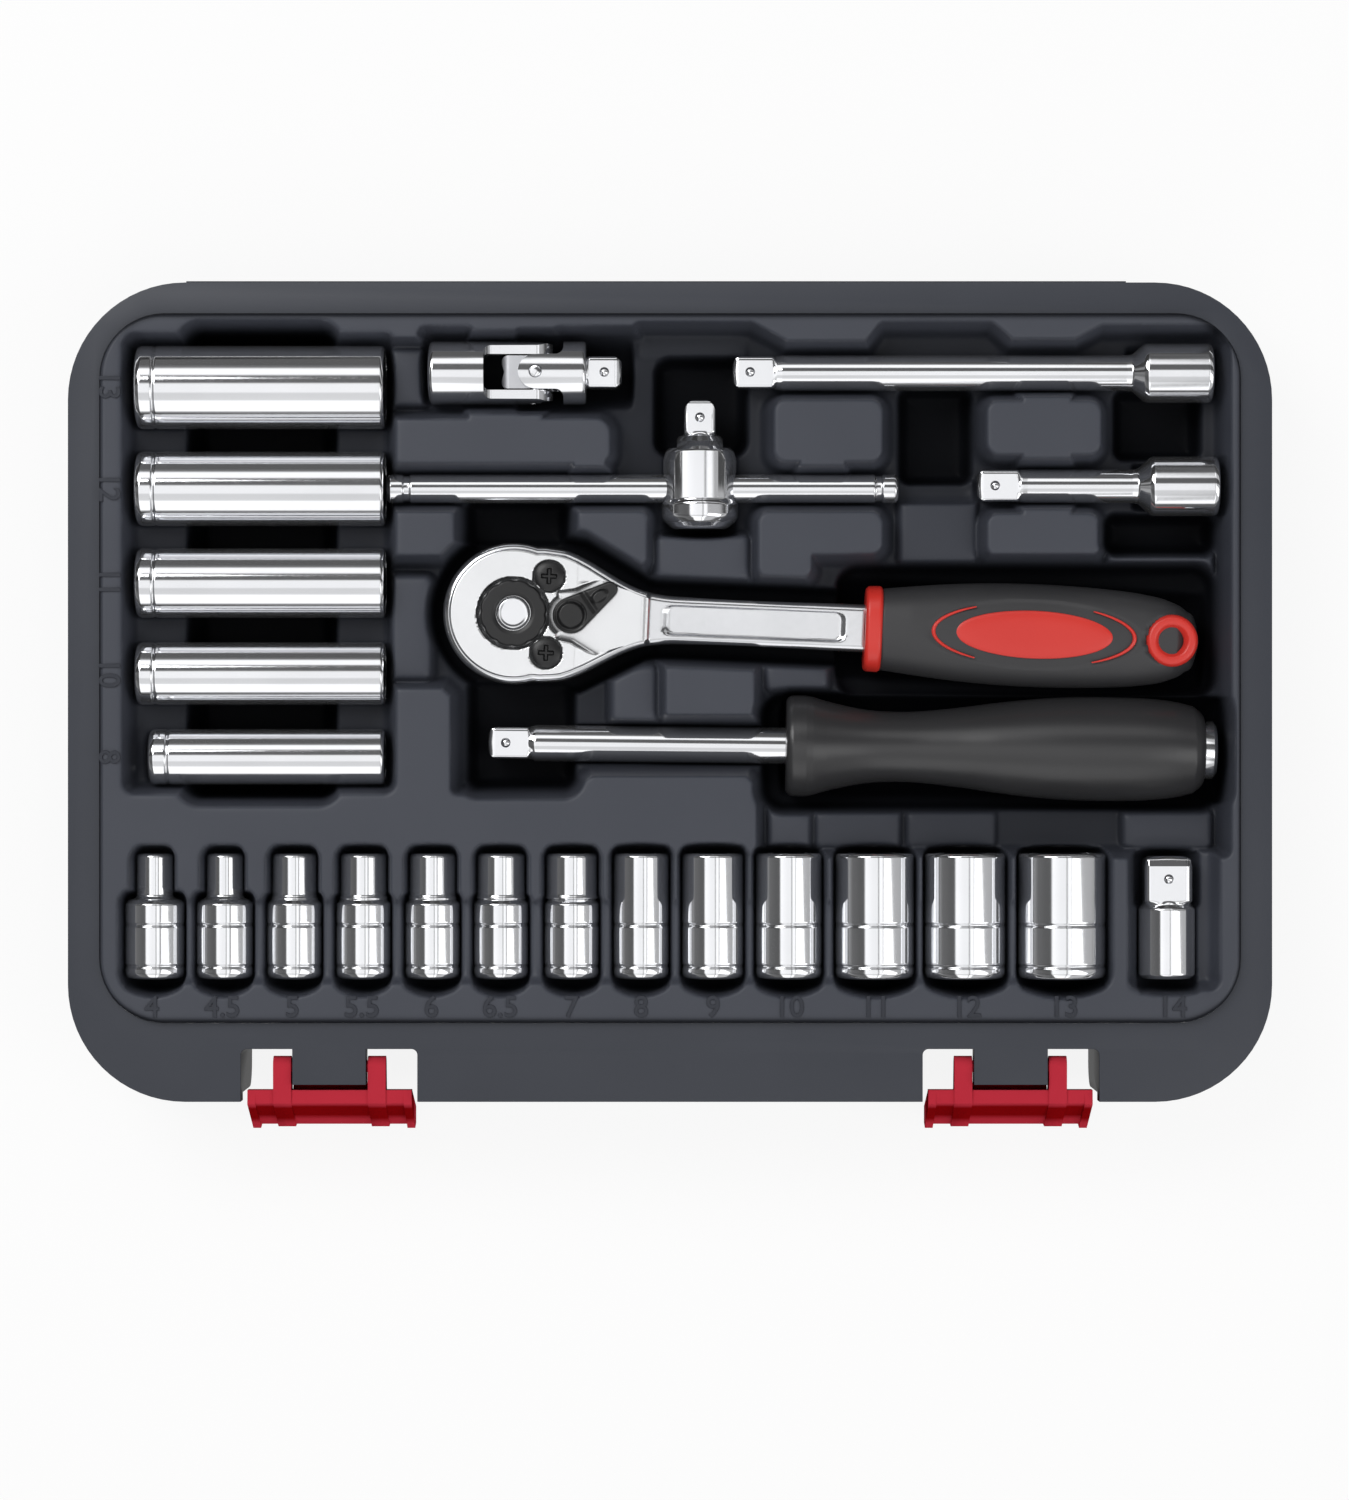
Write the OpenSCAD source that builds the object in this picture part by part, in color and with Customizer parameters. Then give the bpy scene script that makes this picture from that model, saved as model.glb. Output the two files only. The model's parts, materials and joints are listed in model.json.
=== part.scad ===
/* [Case] */
// Distance from the longest handle's end to the case's right edge
end_margin = 10.6; // [10.4:0.1:20]
// Distance from the socket row to the spinner handle's axis
row_space = 22.3; // [21:0.1:30]
// Corner radius of the flange
corner_r = 23.5; // [18:0.5:30]
// Height of the parting flange above the table
flange_z = 27; // [26:0.5:32]
// Thickness of the bead round the parting flange
bead_h = 5; // [4:0.5:8]
// How far the bead stands out from the wall below it
bead_out = 1.6; // [1:0.1:3]
// Radius of the case's bottom edge
base_r = 5; // [3:0.5:8]
// Rise of the tray panel above the flange
panel_rise = 2; // [1:0.1:3]
// Margin of the panel at both ends
panel_side = 6.3; // [5:0.1:9]
// Margin of the panel at the back
panel_back = 6.2; // [5:0.1:9]
// Margin of the panel at the front
panel_front = 15.8; // [15:0.1:18]
// Corner radius of the panel
panel_r = 13; // [9:0.5:16]
// Length of the trimmed hinge strip on the back edge
hinge_strip_w = 188.8; // [150:0.2:195]
// Distance from the case's left edge to the hinge strip
hinge_strip_in = 23.6; // [20:0.2:26]

/* [Tray] */
// Depth of the ledges below the panel
ledge_depth = 9.2; // [9.2:0.1:10]
// Depth of the finger wells below the panel
well_depth = 16; // [12:0.5:19]
// Depth of the deepest wells, under the long sockets and the handles
deep_depth = 22; // [21:0.5:24]
// Gap under a seated tool
seat_gap = 0.3; // [0.2:0.05:0.4]
// Gap beside a seated tool
side_gap = 0.7; // [0.4:0.05:1]
// Gap at each end of a seated tool
end_gap = 0.9; // [0.5:0.1:1.2]
// Extra room in which the universal joint's drive end tilts
tilt_room = 1; // [0.6:0.1:1.4]
// Depth of the finger dip across the socket row
dip_depth = 3; // [1:0.2:5]

/* [Latches] */
// Distance of each latch from its end of the case
latch_in = 52.4; // [48.8:0.2:60.8]
// Width of a latch
latch_w = 33; // [28:0.2:33.6]
// Width of the cut-out for a latch
cutout_w = 35.4; // [35:0.2:38]
// Depth of the cut-out from the front edge
cutout_d = 10.6; // [10:0.1:12]
// Width of the tab that carries a latch
tab_w = 14.8; // [12:0.2:16]
// Distance of the tab's end from the front edge
tab_in = 3.4; // [3:0.1:4.5]
// Thickness of the tab
tab_h = 5.4; // [5:0.1:6]
// Thickness of a latch arm
arm_t = 3.6; // [3:0.1:4]
// Radius of the pips that a latch turns on
pip_r = 1.2; // [1:0.1:1.4]
// Length of a pip
pip_len = 1.8; // [1.2:0.1:2.4]

/* [Socket row] */
// Length of a standard socket
socket_len = 25.2; // [24:0.1:27]
// Height of the axes of the tools in the tray's upper layer
tool_z = 23; // [22.5:0.1:24]
// Distance of the sockets' drive ends from the front edge of the case
row_front = 24.6; // [23:0.1:26]
// Distance of the first socket's axis from the left edge of the case
row_left = 17.1; // [16:0.1:20]
// Length of the narrow hex end of the small sockets
neck_len = 8.8; // [7:0.1:11]
// Sizes of the standard sockets, across the flats of their nuts
socket_af = [4, 4.5, 5, 5.5, 6, 6.5, 7, 8, 9, 10, 11, 12, 13];
// Diameters of their drive ends
socket_od = [12, 11.4, 11, 11, 11, 11, 11, 11.2, 12.4, 13.4, 15.9, 16.3, 17.7];
// Diameters of their hex ends
socket_neck_od = [7.4, 7.4, 8.9, 9.3, 9.3, 9.6, 10.3, 11.2, 12.4, 13.4, 15.9, 16.3, 17.7];
// Gaps between one socket and the one before it
socket_gap = [0, 2.4, 2.8, 2.9, 2.9, 2.8, 3.2, 2.9, 2.6, 2.4, 2.65, 2.1, 2.5];

/* [Deep sockets] */
// Length of a deep socket
deep_len = 50; // [48:0.1:52]
// How much shorter the smallest deep socket is
deep_short = 2.6; // [0:0.1:4]
// Distance of the deep sockets' drive ends from the left edge of the case
deep_left = 13.4; // [13:0.1:15]
// Distance of the first deep socket's axis from the back edge of the case
deep_back = 20.8; // [20:0.1:24]
// Sizes of the deep sockets, from the back
deep_af = [13, 12, 11, 10, 8];
// Their diameters
deep_od = [16.8, 15, 14, 12.6, 11.2];
// Gaps between one deep socket and the one before it
deep_gap = [0, 4.5, 4.5, 4.9, 4.9];
// Length of the ledge under each end of the deep sockets
cradle_len = 13; // [10:0.5:16]

/* [Square drives] */
// Size of the quarter-inch male square
square_w = 6.35; // [6.2:0.01:6.4]
// Length of the male squares on the tee and the joint
square_len = 7.1; // [6.8:0.1:8]
// Length of the male squares on the extensions and the spinner handle
long_square_len = 8.4; // [7.5:0.1:10]
// Clearance of the female square over the male one
square_gap = 0.12; // [0.05:0.01:0.2]
// Depth of the female square
square_depth = 8.4; // [8:0.1:10]
// Radius of the detent balls
ball_r = 1.15; // [1:0.05:1.3]
// Height of a detent ball above its face
ball_proud = 0.55; // [0.3:0.05:0.7]
// Running clearance of balls, pins and shafts
run_gap = 0.05; // [0.02:0.01:0.08]
// Size of the three-eighths square on the adaptor
big_square_w = 9.5; // [9.3:0.05:9.6]

/* [Adaptor] */
// Distance of the adaptor's axis from the right edge of the case
adaptor_right = 20.8; // [19.5:0.1:22]
// Diameter of the adaptor
adaptor_od = 11.4; // [10.5:0.1:12]
// Length of the adaptor's round part
adaptor_len = 14.6; // [13:0.1:16]
// Length of its three-eighths square
big_square_len = 10.1; // [9:0.1:11]

/* [Extensions] */
// Length of the long extension
long_len = 96.6; // [90:0.1:98]
// Diameter of the long extension's shaft
long_od = 7.2; // [6.8:0.1:8]
// Length of the short extension
short_len = 48.6; // [46:0.1:50]
// Diameter of the short extension's shaft
short_od = 6.8; // [6.6:0.1:8]
// Diameter of the extensions' female ends
female_od = 12; // [11.6:0.1:12.6]
// Length of the extensions' female ends
female_len = 13.6; // [12:0.1:16]
// Distance of the long extension's axis from the back edge
long_back = 17.9; // [17.5:0.1:19]
// Distance of the short extension's axis from the back edge
short_back = 40.7; // [39:0.1:42]
// Distance of the long extension's female end from the right edge
long_right = 11.6; // [11.4:0.1:13]
// Distance of the short extension's female end from the right edge
short_right = 10.4; // [10.2:0.1:13]

/* [Universal joint] */
// Diameter of the joint
joint_od = 12.8; // [12:0.1:13.2]
// Distance of the joint's socket end from the left edge of the case
joint_left = 72.2; // [71.5:0.1:75]
// Length from the socket end to the crossing of the pins
joint_front_len = 21.6; // [20:0.1:23]
// Length from the crossing to the root of the square
joint_back_len = 10.2; // [9.5:0.1:12]
// Length of the solid part of the socket yoke
yoke_root = 11.2; // [10:0.1:12]
// Width of the drive yoke's ears
ear_w = 6.9; // [6:0.1:8]
// Size of the block between the yokes
block_w = 6.6; // [6:0.1:7]
// Radius of the joint's pins
joint_pin_r = 1.3; // [1:0.05:1.6]

/* [Sliding tee] */
// Distance of the head's axis from the left edge of the case
tee_left = 126.8; // [126:0.1:129]
// Distance of the bar's axis from the back edge of the case
tee_back = 41.2; // [40:0.1:42]
// Diameter of the sliding bar
bar_od = 5.8; // [5.4:0.1:6.2]
// Length of the sliding bar
bar_len = 103; // [90:0.1:103.4]
// Distance of the bar's left end from the left edge of the case
bar_left = 63.8; // [63.5:0.1:66]
// Diameter of the head
tee_od = 15.4; // [14:0.1:16]
// Length of the head in front of the bar's axis
tee_front = 8.2; // [7:0.1:9]
// Length of the head behind the bar's axis, up to its square
tee_rear = 10.6; // [9:0.1:12]
// Travel of the bar in the tray
bar_travel = 15; // [0:0.5:15]

/* [Ratchet] */
// Distance of the drive gear's axis from the left edge of the case
gear_left = 89.3; // [88:0.1:91]
// Distance of the drive gear's axis from the back edge of the case
gear_back = 66.3; // [65:0.1:68]
// Turn of the handle towards the front
ratchet_turn = -2.4; // [-3:0.1:-2]
// Height of the handle's axis
handle_z = 19.5; // [19:0.1:21]
// Radius of the head
head_r = 14.2; // [13.5:0.1:15]
// Thickness of the head under its cover
head_h = 10; // [9:0.1:11]
// Thickness of the cover plate
cover_t = 1.6; // [1.2:0.1:2]
// Number of teeth on the drive gear
teeth = 36; // [24:12:72]
// Radius of the gear over its teeth
gear_r = 7.2; // [6.6:0.1:7.6]
// Height of a gear tooth
tooth_h = 0.75; // [0.5:0.05:0.9]
// Gap between meshed teeth
mesh_gap = 0.08; // [0.05:0.01:0.12]
// Distance from the gear's axis to the pawl's pivot
pivot_x = 11.6; // [11.2:0.1:12]
// Angle that the pawl rocks to each side
pawl_rock = 8; // [7:0.5:9]
// Swing of the direction lever to each side
lever_swing = 36; // [30:1:40]
// Length of the lever from its pivot to the middle of its tip
lever_len = 9.4; // [8:0.1:10.5]
// Radius of the black dial ring
ring_r = 6.9; // [6.5:0.1:7]
// Radius of the release button
button_r = 3.4; // [3:0.1:3.6]
// Width of the shank
shank_w = 9.6; // [9:0.1:11]
// Distance from the gear's axis to the grip's collar
grip_x = 70.8; // [68:0.1:72]
// Distance from the gear's axis to the end of the grip
grip_end = 138.5; // [134:0.1:139]
// Largest radius of the grip
grip_r = 10.4; // [9:0.1:10.6]
// Distance from the gear's axis to the hang hole
hang_x = 132.4; // [128:0.1:133]
// Radius of the hang hole
hang_r = 2.4; // [2:0.1:3]

/* [Spinner handle] */
// Distance of the shaft's square end from the left edge of the case
spinner_left = 84.2; // [83.8:0.1:86]
// Distance of its axis there from the back edge of the case
spinner_back = 92.3; // [91:0.1:93]
// Turn of the spinner handle
spinner_turn = -0.6; // [-1:0.1:0]
// Overall length of the spinner handle
spinner_len = 146.8; // [140:0.1:147.4]
// Diameter of its shaft
spinner_od = 7.4; // [7:0.1:8]
// Length of its grip
spinner_grip_len = 84.4; // [80:0.1:86]
// Largest radius of its grip
spinner_r = 10.5; // [9.5:0.1:10.8]
// Diameter of the female end in its grip
spinner_end_od = 11.7; // [11:0.1:12]
// How far the female end stands out of the grip
spinner_end_out = 2.4; // [1.5:0.1:3]

/* [Hidden] */
$fn = 48;
SIZES = ["4", "4_5", "5", "5_5", "6", "6_5", "7", "8", "9", "10", "11", "12", "13"];
DEEP_SIZES = ["13", "12", "11", "10", "8"];

case_w = max(spinner_left + spinner_len, gear_left + grip_end) + end_margin;
case_d = spinner_back + row_space + socket_len + row_front;
latch_x = case_w / 2 - latch_in;
case_left = -case_w / 2;
case_right = case_w / 2;
case_back = case_d / 2;
case_front = -case_d / 2;
panel_z = flange_z + panel_rise;
ledge_z = panel_z - ledge_depth;
well_z = panel_z - well_depth;
deep_z = panel_z - deep_depth;
sky = 20; // how far every cut runs on above the panel
insert_z = 4; // top of the shell's floor, on which the inserts stand
strip_out = 0.4; // the trimmed hinge strip's stub
strip_h = 1;
cutout_r = 1.2;
pivot_in = 7; // the latch pivots' distance from the front edge
latch_y = case_front + pivot_in;
latch_z = flange_z - tab_h / 2;
arm_gap = 0.3;
socket_step = 1.2; // length of the taper behind a socket's neck
groove_d = 0.15;
groove_w = 0.7;
groove_in = 4.3; // the ring groove's distance from the drive end
edge = 0.5; // small chamfers on the tools
web = 3; // solid stop between a socket's hex and its square, beside the passage
passage_r = 3;
hex_gap = 0.1;
row_y = case_front + row_front;
first_x = case_left + row_left;
deep_x = case_left + deep_left;
first_deep_y = case_back - deep_back;
adaptor_x = case_right - adaptor_right;
long_y = case_back - long_back;
short_y = case_back - short_back;
joint_x = case_left + joint_left;
joint_y = long_y;
cross_x = joint_x + joint_front_len;
tee_x = case_left + tee_left;
tee_y = case_back - tee_back;
bar_x = case_left + bar_left;
gear_x = case_left + gear_left;
gear_y = case_back - gear_back;
spinner_x = case_left + spinner_left;
spinner_y = case_back - spinner_back;
recess_side = 10; // margin between the recess and the case's right edge
strip_front = 21.5; // the recess reaches this far in front of the spinner handle's axis
front_split = spinner_y - 19.9; // the inserts meet along these three lines
side_split = deep_x + deep_len + 7.4;
back_split = short_y - 9.3;
head_z = handle_z - head_h / 2; // underside of the ratchet head
cover_z = handle_z + head_h / 2;
ball_z = square_w / 2 + ball_proud - ball_r;
ball_in = 3.5; // a detent ball's distance from the square's tip
ball_travel = ball_proud + 0.1;
female_w = square_w + square_gap;

function sum_to(v, i) = i < 0 ? 0 : v[i] + sum_to(v, i - 1);
function row_pos(od, gap, i) = sum_to(od, i) - od[0] / 2 - od[i] / 2 + sum_to(gap, i);
function socket_x(i) = first_x + row_pos(socket_od, socket_gap, i);
function deep_y(i) = first_deep_y - row_pos(deep_od, deep_gap, i);
function deep_long(i) = deep_len - (i == len(deep_af) - 1 ? deep_short : 0);
function polar(r, a) = [r * cos(a), r * sin(a)];

// Heights inside the ratchet head, above its underside.
head_floor = 2;
gear_low = head_floor + 0.2;
gear_high = 6.6;
rim_low = gear_high + 0.2;
rim_high = head_h - 0.4;
wedge_d = 0.9; // the lever's recess in the cover
cover_in = 1.3; // the cover's edge lies this far inside the head's
journal_r = 4.9; // the gear's journal in the head's floor
hub_r = 4.6;
stem_r = 1.2; // the release pin
button_travel = 1.2;
spring_low = 5;
button_low = 9;
screw_x = 6.9;
screw_y = 7.7;
screw_r = 3;
shaft_r = 1.9; // the lever's shaft, on which the pawl rocks
collar_r = 2.9;
plunger_r = 0.7;
rim_r = 3.6; // inside of the pawl's rim, on which the plunger rides
grip_flat = 8.4; // half of the grip's thickness
grip_start = 3.2; // length of the red collar in front of the grip
inlay_x = 104.6;
inlay_len = 15.8;
inlay_w = 4.8;
ring_out = 2.9; // wall of the red ring round the hang hole
core_r = 5.6;
tang_r = 3.6;

// ---- helpers: everything that lies down is drawn along +X ----

module lie() rotate([0, 90, 0]) children();

module turned(profile) lie() rotate_extrude() polygon(profile);

module rod(r, x0, x1) translate([x0, 0, 0]) lie() cylinder(r = r, h = x1 - x0);

module slab(x0, x1, y0, y1, z0, z1) translate([x0, y0, z0]) cube([x1 - x0, y1 - y0, z1 - z0]);

module soft_rect(x0, x1, y0, y1, r) {
  translate([x0 + r, y0]) square([x1 - x0 - 2 * r, y1 - y0]);
  translate([x0, y0 + r]) square([x1 - x0, y1 - y0 - 2 * r]);
  for (x = [x0 + r, x1 - r], y = [y0 + r, y1 - r]) translate([x, y]) circle(r);
}

module pocket(x0, x1, y0, y1, r, z) {
  translate([0, 0, z]) linear_extrude(panel_z + sky - z) soft_rect(x0, x1, y0, y1, r);
}

// A round-bottomed channel along +X, open upwards.
module channel(r, x0, x1) {
  rod(r + seat_gap, x0, x1);
  slab(x0, x1, -r - side_gap, r + side_gap, 0, sky);
}

// A female square with its lead-in, its mouth at x = 0 and its depth along -X.
module square_socket(depth) {
  slab(-depth, 1, -female_w / 2, female_w / 2, -female_w / 2, female_w / 2);
  turned([[0, -edge], [female_w / 2, -edge], [female_w / 2 + edge + 0.6, 0.1], [0, 0.1]]);
  turned([[0, -5.2], [female_w / 2 + 0.35, -5.2], [female_w / 2 + 0.35, -3.4], [0, -3.4]]);
}

// A male square that points along +X from its root at x = 0, with its ball's hole on top.
module square_drive(w, len) {
  difference() {
    intersection() {
      slab(-0.5, len, -w / 2, w / 2, -w / 2, w / 2);
      turned([[0, -0.5], [w * 0.66, -0.5], [w * 0.66, len - 1.6], [w * 0.42, len], [0, len]]);
    }
    translate([len - ball_in, 0, ball_z - ball_r - ball_travel - 0.2])
      cylinder(r = ball_r + run_gap, h = w);
  }
}

module detent_ball(len) translate([len - ball_in, 0, ball_z]) sphere(ball_r);

// ---- places of the tools ----

module at_socket(i) translate([socket_x(i), row_y, tool_z]) rotate([0, 0, -90]) children();

module at_deep(i) translate([deep_x + deep_len - deep_long(i), deep_y(i), tool_z])
  rotate([0, 0, 180]) children();

module at_adaptor() translate([adaptor_x, row_y, tool_z]) rotate([0, 0, 90]) children();

module at_long() translate([case_right - long_right, long_y, tool_z]) rotate([0, 0, 180]) children();

module at_short() translate([case_right - short_right, short_y, tool_z]) rotate([0, 0, 180]) children();

module at_joint() translate([cross_x, joint_y, tool_z]) children();

module at_tee() translate([tee_x, tee_y, tool_z]) rotate([0, 0, 90]) children();

module at_ratchet() translate([gear_x, gear_y, 0]) rotate([0, 0, ratchet_turn]) children();

module at_spinner() translate([spinner_x, spinner_y, handle_z]) rotate([0, 0, spinner_turn]) children();

// ---- case ----

// A rounded block whose bottom edge is rounded with radius e.
module pillow(w, d, r, e, h) {
  translate([0, 0, e]) linear_extrude(h - e) soft_rect(-w / 2, w / 2, -d / 2, d / 2, r);
  linear_extrude(e) soft_rect(e - w / 2, w / 2 - e, e - d / 2, d / 2 - e, r - e);
  for (y = [e - d / 2, d / 2 - e]) translate([0, y, e]) rod(e, r - w / 2, w / 2 - r);
  for (x = [e - w / 2, w / 2 - e]) translate([x, 0, e]) rotate([0, 0, 90]) rod(e, r - d / 2, d / 2 - r);
  for (x = [r - w / 2, w / 2 - r], y = [r - d / 2, d / 2 - r])
    translate([x, y, e]) rotate_extrude() translate([r - e, 0]) circle(e);
}

module case_block() {
  pillow(case_w - 2 * bead_out, case_d - 2 * bead_out, corner_r - bead_out, base_r, flange_z - bead_h / 2);
  translate([0, 0, flange_z - bead_h])
    linear_extrude(bead_h) soft_rect(case_left, case_right, case_front, case_back, corner_r);
  slab(case_left + hinge_strip_in, case_left + hinge_strip_in + hinge_strip_w, case_back - 1,
       case_back + strip_out, flange_z - bead_h / 2, flange_z - bead_h / 2 + strip_h);
}

// Puts plan coordinates measured from the case's left edge and from its back edge in place.
module from_corner() translate([case_left, case_back, 0]) mirror([0, 1, 0]) children();

// The outline of the big recess that holds all but the sockets, cut down to the ledges.
module recess_outline() {
  lie_left = deep_left + deep_len;
  right = case_w - recess_side;
  front = spinner_back + strip_front;
  from_corner() polygon([
    [lie_left, 12.8], [71.8, 12.8], [71.8, 10.4], [79.8, 10.4], [79.8, 11.3], [98.8, 11.3], [98.8, 10.4],
    [114.8, 10.4], [114.8, 9.6], [136.8, 9.6], [143.8, 13.4], [160.8, 13.4], [163.8, 9.6], [184.8, 9.6],
    [188.8, 13], [202.4, 13], [207.8, 10.2], [right - 1.4, 10.2], [right, 12.2], [right, front],
    [139.8, front], [139.8, 100.2], [136.8, 97.4], [104.8, 97.4], [98.8, 101.2], [78.4, 101.2],
    [78.4, 82.2], [75.8, 79.8], [lie_left, 79.8]
  ]);
}

// The pads that stand in the recess at the height of the panel and hold the tools apart.
module pads() from_corner() {
  soft_rect(60.8, 110.4, 25.8, 38, 4.4);
  soft_rect(140, 165, 22, 37.6, 4);
  soft_rect(182.6, 208.8, 22.2, 36.2, 4);
  soft_rect(182.6, 208.6, 44.8, 56.8, 4);
  soft_rect(99.4, 117.8, 44.4, 58.2, 3);
  soft_rect(136.8, 165, 44.4, 56.2, 4);
  soft_rect(136.8, 150.8, 44.4, 61.2, 4);
  soft_rect(60.8, 80, 44.4, 56.4, 3);
  soft_rect(118.2, 139.4, 73.8, 88.4, 2);
}

module finger_wells() from_corner() {
  pocket(80.4, 99.4, 43.8, 52.4, 1.5, well_z);
  pocket(80.8, 100.8, 79.8, 100.8, 1.5, well_z);
  pocket(118.4, 135.6, 15.4, 33.8, 2.5, well_z);
  pocket(167.8, 180.8, 21.4, 39.4, 1.5, well_z);
  pocket(211.2, 227.2, 21.8, 34.6, 1.5, well_z);
  pocket(209.4, 229.8, 46.8, 53.4, 1.5, well_z);
}

module socket_wells() {
  for (i = [0:len(socket_af) - 1]) at_socket(i) {
    wide = -socket_len + (socket_neck_od[i] < socket_od[i] ? neck_len - 0.6 : -end_gap);
    channel(socket_od[i] / 2, wide, end_gap + 1);
    channel(socket_neck_od[i] / 2, -socket_len - end_gap, -1);
  }
  pocket(first_x - socket_od[0] / 2, socket_x(len(socket_af) - 1) + 9.5, row_y - 1,
         row_y + socket_len - neck_len - 0.6, 1.5, panel_z - dip_depth);
}

module deep_wells() {
  last = len(deep_af) - 1;
  x0 = deep_x - end_gap;
  x1 = deep_x + deep_len + end_gap;
  y0 = deep_y(last) - deep_od[last] / 2 - side_gap;
  y1 = deep_y(0) + deep_od[0] / 2 + side_gap;
  pocket(x0, x1, y0, y1, 0.5, tool_z - 3);
  pocket(x0 + cradle_len, x1 - cradle_len, y0, y1, 1, deep_z);
  for (i = [0:last]) at_deep(i) channel(deep_od[i] / 2, -deep_long(i) - end_gap, end_gap);
}

module adaptor_well() {
  at_adaptor() {
    channel(adaptor_od / 2, -end_gap, adaptor_len + 0.6);
    channel(big_square_w * 0.66, adaptor_len - 1, adaptor_len + big_square_len + end_gap);
  }
  pocket(adaptor_x - 7.5, adaptor_x + 9.4, row_y - 1.4, row_y + 28.6, 1.5, tool_z);
}

module tool_wells() {
  at_long() {
    channel(female_od / 2, -end_gap, female_len + 3.5);
    channel(long_od / 2, 0, long_len + end_gap);
  }
  at_short() {
    channel(female_od / 2, -end_gap, female_len + 3.5);
    channel(short_od / 2, 0, short_len + end_gap);
  }
  at_joint() {
    channel(joint_od / 2, -joint_front_len - end_gap, joint_back_len + square_len + 2);
    channel(joint_od / 2 + tilt_room, -4, joint_back_len + square_len + 2);
  }
  at_tee() channel(tee_od / 2, -tee_front - end_gap, tee_rear + square_len + 2);
  translate([0, tee_y, tool_z]) channel(bar_od / 2, bar_x - end_gap, bar_x + bar_len + bar_travel + 0.4);
}

module handle_wells() {
  floor_z = handle_z - grip_r - seat_gap;
  at_ratchet() {
    translate([0, 0, head_z - seat_gap]) head_block(1.8, panel_z + sky);
    translate([0, 0, head_z - square_len - 2 * seat_gap - 1.2]) cylinder(r = 7, h = sky);
    slab(20, grip_x, -shank_w / 2 - 2.4, shank_w / 2 + 2.4, handle_z - 4.6, panel_z + sky);
    channel_floor = grip_x - 5;
    translate([0, 0, handle_z]) channel(grip_r, channel_floor, grip_end + end_gap);
  }
  from_corner() pocket(154.8, case_w - recess_side - 1.2, 57, 83.2, 4, tool_z - 8);
  at_spinner() {
    channel(spinner_od / 2, -end_gap, spinner_len - spinner_grip_len);
    channel(spinner_r, spinner_len - spinner_grip_len - 3, spinner_len + end_gap);
  }
  from_corner() pocket(139.8, case_w - recess_side, 82.8, 105.4, 4, floor_z + 6);
}

module latch_cutout(x) {
  translate([0, 0, -1]) linear_extrude(panel_z + 2)
    soft_rect(x - cutout_w / 2, x + cutout_w / 2, case_front - 5, case_front + cutout_d, cutout_r);
}

module latch_tab(x) {
  y1 = case_front + cutout_d + 0.5;
  difference() {
    slab(x - tab_w / 2, x + tab_w / 2, case_front + tab_in, y1, flange_z - tab_h, flange_z);
    for (s = [-1, 1]) translate([x + s * tab_w / 2, latch_y, latch_z])
      lie() cylinder(r = pip_r + run_gap, h = 2 * (pip_len + arm_gap), center = true);
  }
}

// The moulded inserts fill the shell's one big hollow, and their top is the raised panel.
module insert_block(above = 0) {
  translate([0, 0, insert_z]) linear_extrude(panel_z - insert_z + above)
    soft_rect(case_left + panel_side, case_right - panel_side, case_front + panel_front,
              case_back - panel_back, panel_r);
}

module case_shell() {
  color([0.32, 0.34, 0.37]) {
    difference() {
      case_block();
      for (x = [-latch_x, latch_x]) latch_cutout(x);
      insert_block(sky);
    }
    for (x = [-latch_x, latch_x]) latch_tab(x);
  }
}

// One insert: the part of the block between these sides, less the recess and the wells given as children.
module bed(x0, x1, y0, y1) {
  color([0.32, 0.34, 0.37]) difference() {
    intersection() {
      insert_block();
      slab(x0, x1, y0, y1, 0, panel_z + sky);
    }
    translate([0, 0, ledge_z]) linear_extrude(sky) difference() {
      recess_outline();
      pads();
    }
    children();
  }
}

module socket_bed() bed(case_left, case_right, case_front, front_split) {
  socket_wells();
  adaptor_well();
}

module deep_socket_bed() bed(case_left, side_split, front_split, case_back) {
  deep_wells();
  tool_wells();
}

module extension_bed() bed(side_split, case_right, back_split, case_back) {
  finger_wells();
  tool_wells();
  handle_wells();
}

module handle_bed() bed(side_split, case_right, front_split, back_split) {
  finger_wells();
  tool_wells();
  handle_wells();
}

// ---- latches ----

// Side view of the latch plate: x runs away from the case, y runs up, from the pivot.
LATCH_SIDE = [[4.7, 1.4], [7.4, 1.4], [12.6, -13.6], [12.6, -16.6], [9.2, -16.6], [8.6, -14.6],
              [10.4, -13.4], [5.8, -2.2], [4.7, -1.6]];

module latch_side(x0, x1) {
  translate([x0, 0, 0]) rotate([90, 0, 90]) linear_extrude(x1 - x0) mirror([1, 0]) children();
}

module latch(x) {
  a0 = tab_w / 2 + arm_gap;
  a1 = a0 + arm_t;
  color([0.66, 0.14, 0.2]) translate([x, latch_y, latch_z]) {
    latch_side(-latch_w / 2, latch_w / 2) polygon(LATCH_SIDE);
    for (s = [-1, 1]) {
      xa = s > 0 ? a0 : -a1;
      latch_side(xa, xa + arm_t) union() {
        circle(2.1);
        polygon([[0, 2.1], [7.4, 1.8], [13, -12], [12.6, -15], [5.6, -3.4], [0, -2.1]]);
      }
      xo = s > 0 ? latch_w / 2 - 1.6 : -latch_w / 2;
      latch_side(xo, xo + 1.6) polygon([[5, 1.4], [7.6, 1.6], [13.4, -13], [12.6, -16.6], [9.2, -16.6], [5, -1.6]]);
      translate([s * (a0 - pip_len / 2), 0, 0]) lie() cylinder(r = pip_r, h = pip_len + 0.4, center = true);
    }
  }
}

module latch_left() latch(-latch_x);

module latch_right() latch(latch_x);

// ---- sockets ----

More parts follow.
